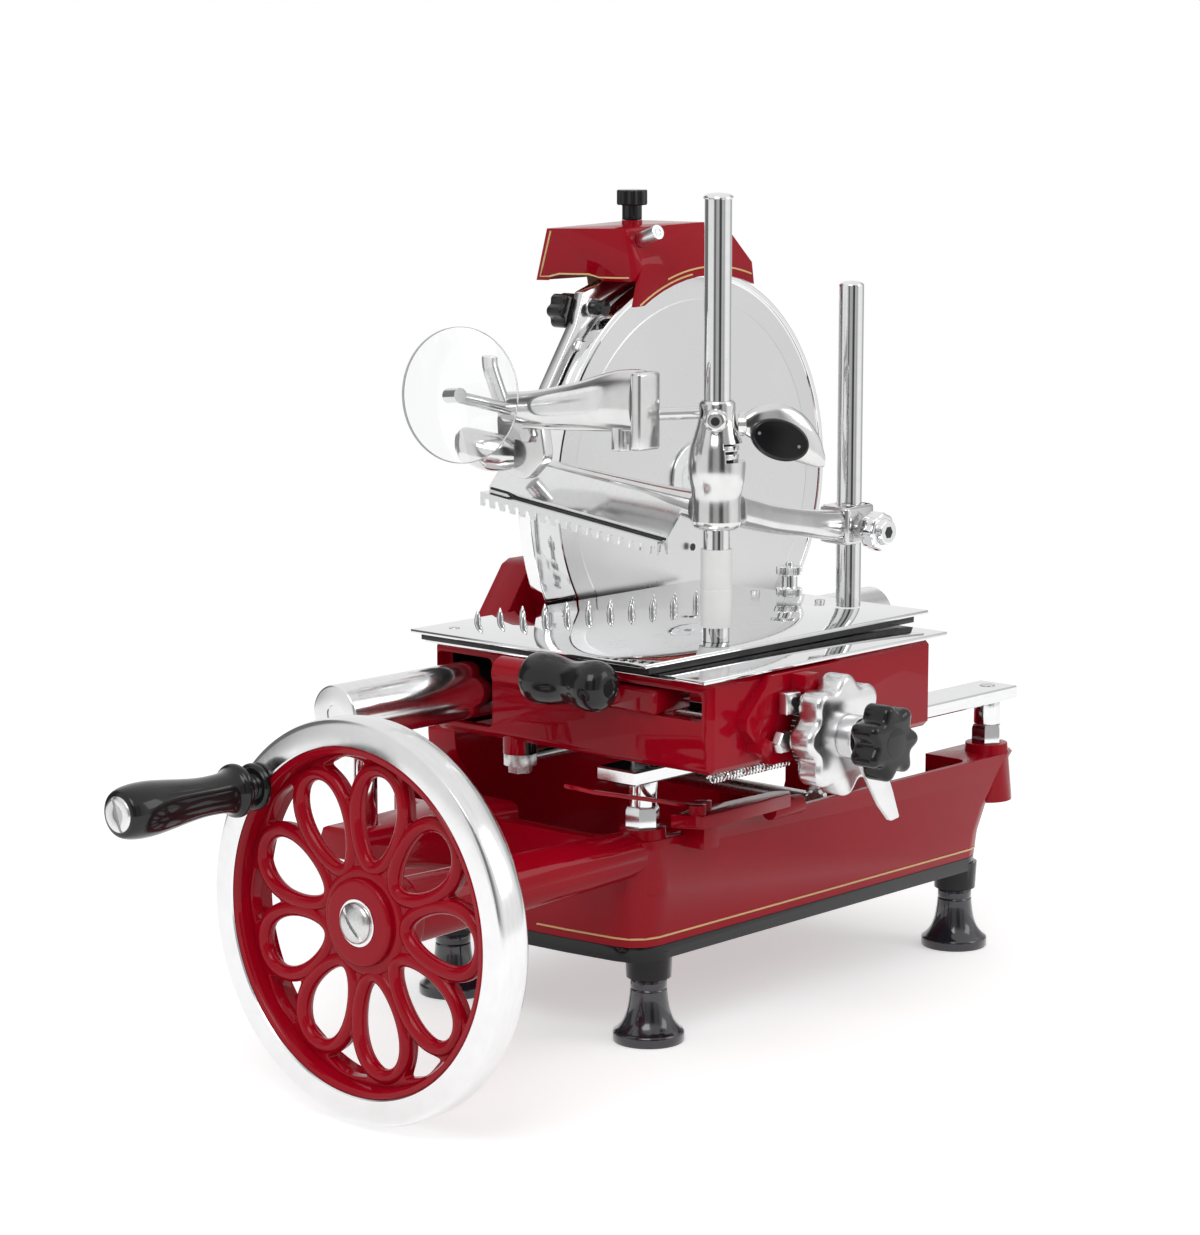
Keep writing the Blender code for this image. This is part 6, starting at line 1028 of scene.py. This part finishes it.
def make_clamp():
    flank = smooth_profile(((0.0124, 0.4372), (0.0128, 0.427), (0.015, 0.418), (0.0183, 0.407),
                            (0.0195, 0.396), (0.0188, 0.386), (0.0172, 0.378), (0.0166, 0.37),
                            (0.0168, 0.357)))
    ring = [(CLAMP_BORE, 0.439), (0.0112, 0.439)] + flank
    ring += [(0.0155, 0.354), (0.0135, 0.3527), (CLAMP_BORE, 0.3527)]
    body = finish(turned(ring, POST), "clamp_body", *PRESS, ("press_clamp",), 50)
    notch = soft_loop(((0.01, -0.006), (0.01, 0.03), (-0.03, 0.03), (-0.03, 0.006)), 0.003)
    notch = [(POST.x - first, POST.y - second) for first, second in notch]
    carve(body, plate([notch], "Z", NOTCH_LOW, NOTCH_HIGH))
    # Painted shade: a dark ring inside the clamp's notch
    inside = cylinder(0.0112, NOTCH_HIGH - 0.0002, NOTCH_LOW + 0.0002, POST, Z, 0.0003, bore=CLAMP_BORE)
    finish(inside, "clamp_recess_shade", "press", "chrome_plate", "dark")
    nuts = [cylinder(0.015, low + 0.0038, low, POST, Z, 0.0006, bore=0.0114) for low in (0.4, 0.4056)]
    finish(nuts, "clamp_nuts", "press", "chrome_plate", "polished_steel")
    toward = Vector((-0.8, -0.6, 0))
    lobe = rounded([(0, CLAMP_SCREW_END), (0.0058, CLAMP_SCREW_END), (0.0078, 0.02), (0.0082, 0.011),
                    (0, 0.011)], 0.0014)
    hinge = rounded([(0, 0.0205), (0.0075, 0.0205), (0.0085, 0.012), (0, 0.012)], 0.0012)
    pieces = [turned(lobe, CLAMP_SCREW_AT, toward, 48),
              turned(hinge, POST + Vector((0.004, 0, 0.423)), (0.55, -0.83, 0), 48)]
    finish(pieces, "clamp_bosses", *PRESS)
    # Painted shade: a dark disc in the end of the screw boss
    hole = cylinder(0.003, 0.0003, -0.0006, CLAMP_SCREW_AT + toward * CLAMP_SCREW_END, toward, steps=24)
    finish(hole, "clamp_screw_recess_shade", "press", "chrome_plate", "dark")


def make_lever():
    stations = ((-0.201, -0.215, 0.423, 0.0045, 0.007), (-0.193, -0.22, 0.4225, 0.0055, 0.0125),
                (-0.18, -0.227, 0.419, 0.0062, 0.0175), (-0.165, -0.2335, 0.413, 0.0058, 0.0172),
                (-0.153, -0.238, 0.404, 0.0045, 0.012), (-0.148, -0.24, 0.397, 0.003, 0.005))
    finish(bar(stations, 2.3), "thumb_lever", "press_handle", "chrome_plate", "casting", ("press_lever",), 50)
    tilt = radians(-20)
    outline = []
    for first, second in circle(1, 72):
        first, second = 0.0208 * first, 0.0136 * second
        outline.append((first * cos(tilt) - second * sin(tilt), first * sin(tilt) + second * cos(tilt)))
    seat = Vector((-0.1815, -0.2262, 0.413)) + PAD_OUT * 0.0052
    pad = plate([outline], "Z", 0, PAD_THICKNESS, 0.0024, 5)
    pad.transform(Matrix.Translation(seat) @ Matrix((PAD_ALONG, Z, PAD_OUT)).transposed().to_4x4())
    finish(pad, "thumb_pad", "press_handle", "black_handle", None, ("lever_pad",), 40)
    screws = []
    for first, second in ((-0.015, 0.0052), (0.0125, -0.0046)):
        spot = seat + PAD_ALONG * first + Z * second + PAD_OUT * PAD_THICKNESS
        screws.append(cylinder(0.0011, 0.0002, -0.0004, spot, PAD_OUT, steps=20))
    finish(screws, "thumb_pad_screws", "press_handle", "polished_steel")


def make_arm():
    near = ((-0.2127, -0.024, 0.386, 0.005, 0.0035), (-0.2117, -0.06, 0.3815, 0.0062, 0.0045),
            (-0.2108, -0.12, 0.3745, 0.008, 0.006), (-0.2106, -0.155, 0.37, 0.01, 0.0078),
            (-0.2106, -0.185, 0.366, 0.013, 0.0105))
    along = ((-0.1965, -0.2, 0.364, 0.0135, 0.0112), (-0.18, -0.199, 0.36, 0.011, 0.0106),
             (-0.15, -0.1945, 0.353, 0.0098, 0.01), (-0.1, -0.186, 0.344, 0.0098, 0.01),
             (-0.058, -0.177, 0.3375, 0.0105, 0.011))
    corners = ((-0.056, -0.189), (-0.018, -0.185), (-0.015, -0.158), (-0.052, -0.16))
    block = plate([soft_loop(corners, 0.005), circle(0.009, 64, GUIDE)], "Z", 0.3235, 0.35, 0.0022, 4)
    finish([bar(near), bar(along, 3.2), block], "press_beam", *PRESS, ("press_arm",), 50)
    at = COLLAR_SCREW_AT
    face = rounded([(0, 0.0185), (0.0085, 0.0185), (0.01, 0.0138), (0, 0.0138)], 0.0008)
    pieces = [lobed(0.014, 0.001, 8, 0.012, at - Y * 0.002, NEAR, 0.0022, 8, 1.0),
              turned(face, at, NEAR, 40), cylinder(0.007, 0.0022, 0, at, NEAR, steps=40)]
    finish(pieces, "collar_screw", "collar_knob", "polished_steel", "chrome_plate", ("arm_knob",), 30)
    # Painted shade: a dark hexagon in the screw's socket
    socket = hex_head(at - Y * 0.0181, NEAR, 0.0046, 0.0005)
    finish(socket, "collar_screw_socket_shade", "collar_knob", "polished_steel", "dark")


def make_head():
    cone = ((-0.256, -0.046, 0.428, 0.009, 0.01), (-0.256, -0.075, 0.429, 0.0105, 0.012),
            (-0.2565, -0.115, 0.434, 0.0118, 0.0155), (-0.258, -0.15, 0.439, 0.0128, 0.02),
            (-0.2585, -0.1738, 0.44, 0.0128, 0.0215))
    pieces = [bar(cone, 2.2), box((-0.27, -0.182, 0.408), (-0.248, -0.1732, 0.46), 0.0024, 4)]
    pieces.append(cylinder(0.0072, 0.43, 0.406, (-0.258, -0.156, 0), Z, 0.0012))
    hinge = ((-0.036, 0.386), (-0.066, 0.378), (-0.084, 0.394), (-0.078, 0.428), (-0.068, 0.438),
             (-0.052, 0.432), (-0.034, 0.424))
    pieces.append(plate([soft_loop(hinge, 0.006)], "X", -0.256, -0.246, 0.0012))
    for y, z in ((-0.049, 0.399), (-0.07, 0.41)):
        pieces.append(hex_head((-0.256, y, z), OUT, 0.0055, 0.005, washer=0.0068))
    pod = ((-0.277, -0.0205, 0.406, 0.005, 0.006), (-0.2745, -0.025, 0.4035, 0.01, 0.012),
           (-0.269, -0.037, 0.399, 0.0122, 0.0142), (-0.262, -0.048, 0.397, 0.011, 0.013),
           (-0.256, -0.056, 0.396, 0.0085, 0.01))
    pieces.append(bar(pod, 2.1))
    horn = ((-0.262, -0.05, 0.424), (-0.264, -0.044, 0.44), (-0.266, -0.04, 0.453), (-0.266, -0.039, 0.458),
            (-0.266, -0.039, 0.461))
    pieces.append(tube(horn, 0.0052, smooth=3))
    pieces.append(tube(((-0.258, -0.067, 0.416), (-0.258, -0.147, 0.42)), 0.002))
    face = SHIELD_AT - SHIELD_AXIS * 0.00155
    elbow = face - SHIELD_AXIS * 0.014
    pieces.append(tube((elbow, face), 0.005, sides=24))
    pieces.append(tube(((-0.258, -0.056, 0.426), elbow + SHIELD_AXIS * 0.005), 0.004, sides=20))
    pieces.append(tube(((-0.236, -0.036, 0.3895), (-0.25, -0.045, 0.398)), 0.006, sides=24))
    start = Vector((-0.247, -0.1775, 0.431))
    post = Vector((POST.x, POST.y, start.z))
    pieces.append(tube((start, post + (start - post).normalized() * 0.014), 0.0042, sides=24))
    finish(pieces, "press_head_casting", *PRESS, ("press_head",), 50)


for make in (make_lines, make_rim, make_spider, make_wheel_screw, make_crank, make_blade, make_guard,
             make_feet, make_slides, make_posts, make_sharpener_parts, make_shield, make_dial,
             make_controls, make_table, make_clamp, make_lever, make_arm, make_head):
    make()
for node, (material, bevel, angle) in DRESS.items():
    dress(node, material, bevel, angle)


# Floor, world and light
FLOOR_RADIUS = 1.7
FLOOR_DROP = 0.0002
FLOOR_LIFT = 0.46
WORLD_LEVEL = 0.72
STUDIO_TOP = (0.92, 0.92, 0.92, 1)
STUDIO_WALL_TO = (0.5, 0.66)
BANDS = ((0.00, 0.85), (0.02, 0.3), (0.035, 0.14), (0.055, 0.14), (0.075, 0.42), (0.125, 0.45), (0.15, 0.1),
         (0.16, 0.05), (0.19, 0.05), (0.205, 0.5), (0.235, 0.48), (0.262, 0.36), (0.285, 0.8), (0.32, 0.95),
         (0.42, 0.88), (0.46, 0.48), (0.53, 0.45), (0.58, 0.9), (0.69, 0.95), (0.725, 0.18), (0.845, 0.14),
         (0.872, 0.85), (1.00, 0.85))


def make_floor():
    """A white disc that takes the shadows and fades into the white behind it."""
    shape = bmesh.new()
    bmesh.ops.create_circle(shape, cap_ends=True, radius=FLOOR_RADIUS, segments=96)
    mesh = to_mesh(shape, "floor")
    floor = bpy.data.objects.new("floor", mesh)
    floor.location = (0, 0, -FLOOR_DROP)
    scene.collection.objects.link(floor)
    shader = Shader("floor")
    shader.set(Base_Color=(0.8, 0.8, 0.8, 1), Roughness=0.9, Specular_IOR_Level=0.0)
    shader.set(Emission_Color=(1, 1, 1, 1))
    rays = shader.add("ShaderNodeLightPath").outputs
    kinds = ("Camera", "Glossy", "Transmission")
    seen = add_math(shader.tree, "MAXIMUM", *(rays["Is %s Ray" % kind] for kind in kinds))
    lift = shader.add("ShaderNodeMath", {1: FLOOR_LIFT}, {0: seen}, operation="MULTIPLY")
    shader.feed("Emission Strength", lift.outputs[0])
    mesh.materials.append(shader.material)


def make_world():
    """White to the camera; metal and gloss also see a studio with a few dark panels standing round it."""
    world = bpy.data.worlds.new("studio")
    scene.world = world
    world.use_nodes = True
    tree = world.node_tree
    tree.nodes.clear()
    place = add_node(tree, "ShaderNodeTexCoord").outputs["Generated"]
    split = add_node(tree, "ShaderNodeSeparateXYZ", links={0: place}).outputs
    turn = add_math(tree, "ARCTAN2", split["Y"], split["X"])
    share = add_node(tree, "ShaderNodeMapRange", {"From Min": -pi, "From Max": pi}, {"Value": turn})
    wall = add_ramp(tree, share.outputs["Result"], [(position, (level,) * 3) for position, level in BANDS])
    height = add_ramp(tree, split["Z"], ((STUDIO_WALL_TO[0], (0, 0, 0)), (STUDIO_WALL_TO[1], (1, 1, 1))))
    links = {"Factor": height, "A": wall}
    room = add_node(tree, "ShaderNodeMix", {"B": STUDIO_TOP}, links, data_type="RGBA")
    white = {"Color": (1, 1, 1, 1), "Strength": 1.0}
    studio = add_node(tree, "ShaderNodeBackground", white, {"Color": room.outputs["Result"]}).outputs[0]
    light = add_node(tree, "ShaderNodeBackground", {**white, "Strength": WORLD_LEVEL}).outputs[0]
    plain = add_node(tree, "ShaderNodeBackground", white).outputs[0]
    rays = add_node(tree, "ShaderNodeLightPath").outputs
    glossy = add_node(tree, "ShaderNodeMixShader", links={"Fac": rays["Is Glossy Ray"], 1: light, 2: studio})
    seen = add_math(tree, "MAXIMUM", rays["Is Camera Ray"], rays["Is Transmission Ray"])
    final = add_node(tree, "ShaderNodeMixShader", links={"Fac": seen, 1: glossy.outputs[0], 2: plain})
    add_node(tree, "ShaderNodeOutputWorld", links={"Surface": final.outputs[0]})


def lamp(name, at, toward, size, energy):
    data = bpy.data.lights.new(name, "AREA")
    data.shape = "RECTANGLE"
    data.size, data.size_y = size
    data.energy = energy
    obj = bpy.data.objects.new(name, data)
    obj.location = at
    obj.rotation_mode = "QUATERNION"
    obj.rotation_quaternion = (Vector(toward) - Vector(at)).to_track_quat("-Z", "Y")
    scene.collection.objects.link(obj)


make_floor()
make_world()
lamp("key", (-1.6, -0.9, 2.0), (0, 0, 0.2), (1.2, 1.2), 16)
lamp("side", (1.1, -1.9, 1.3), (0, 0, 0.2), (0.9, 1.2), 7)
scene.view_settings.view_transform = "Standard"
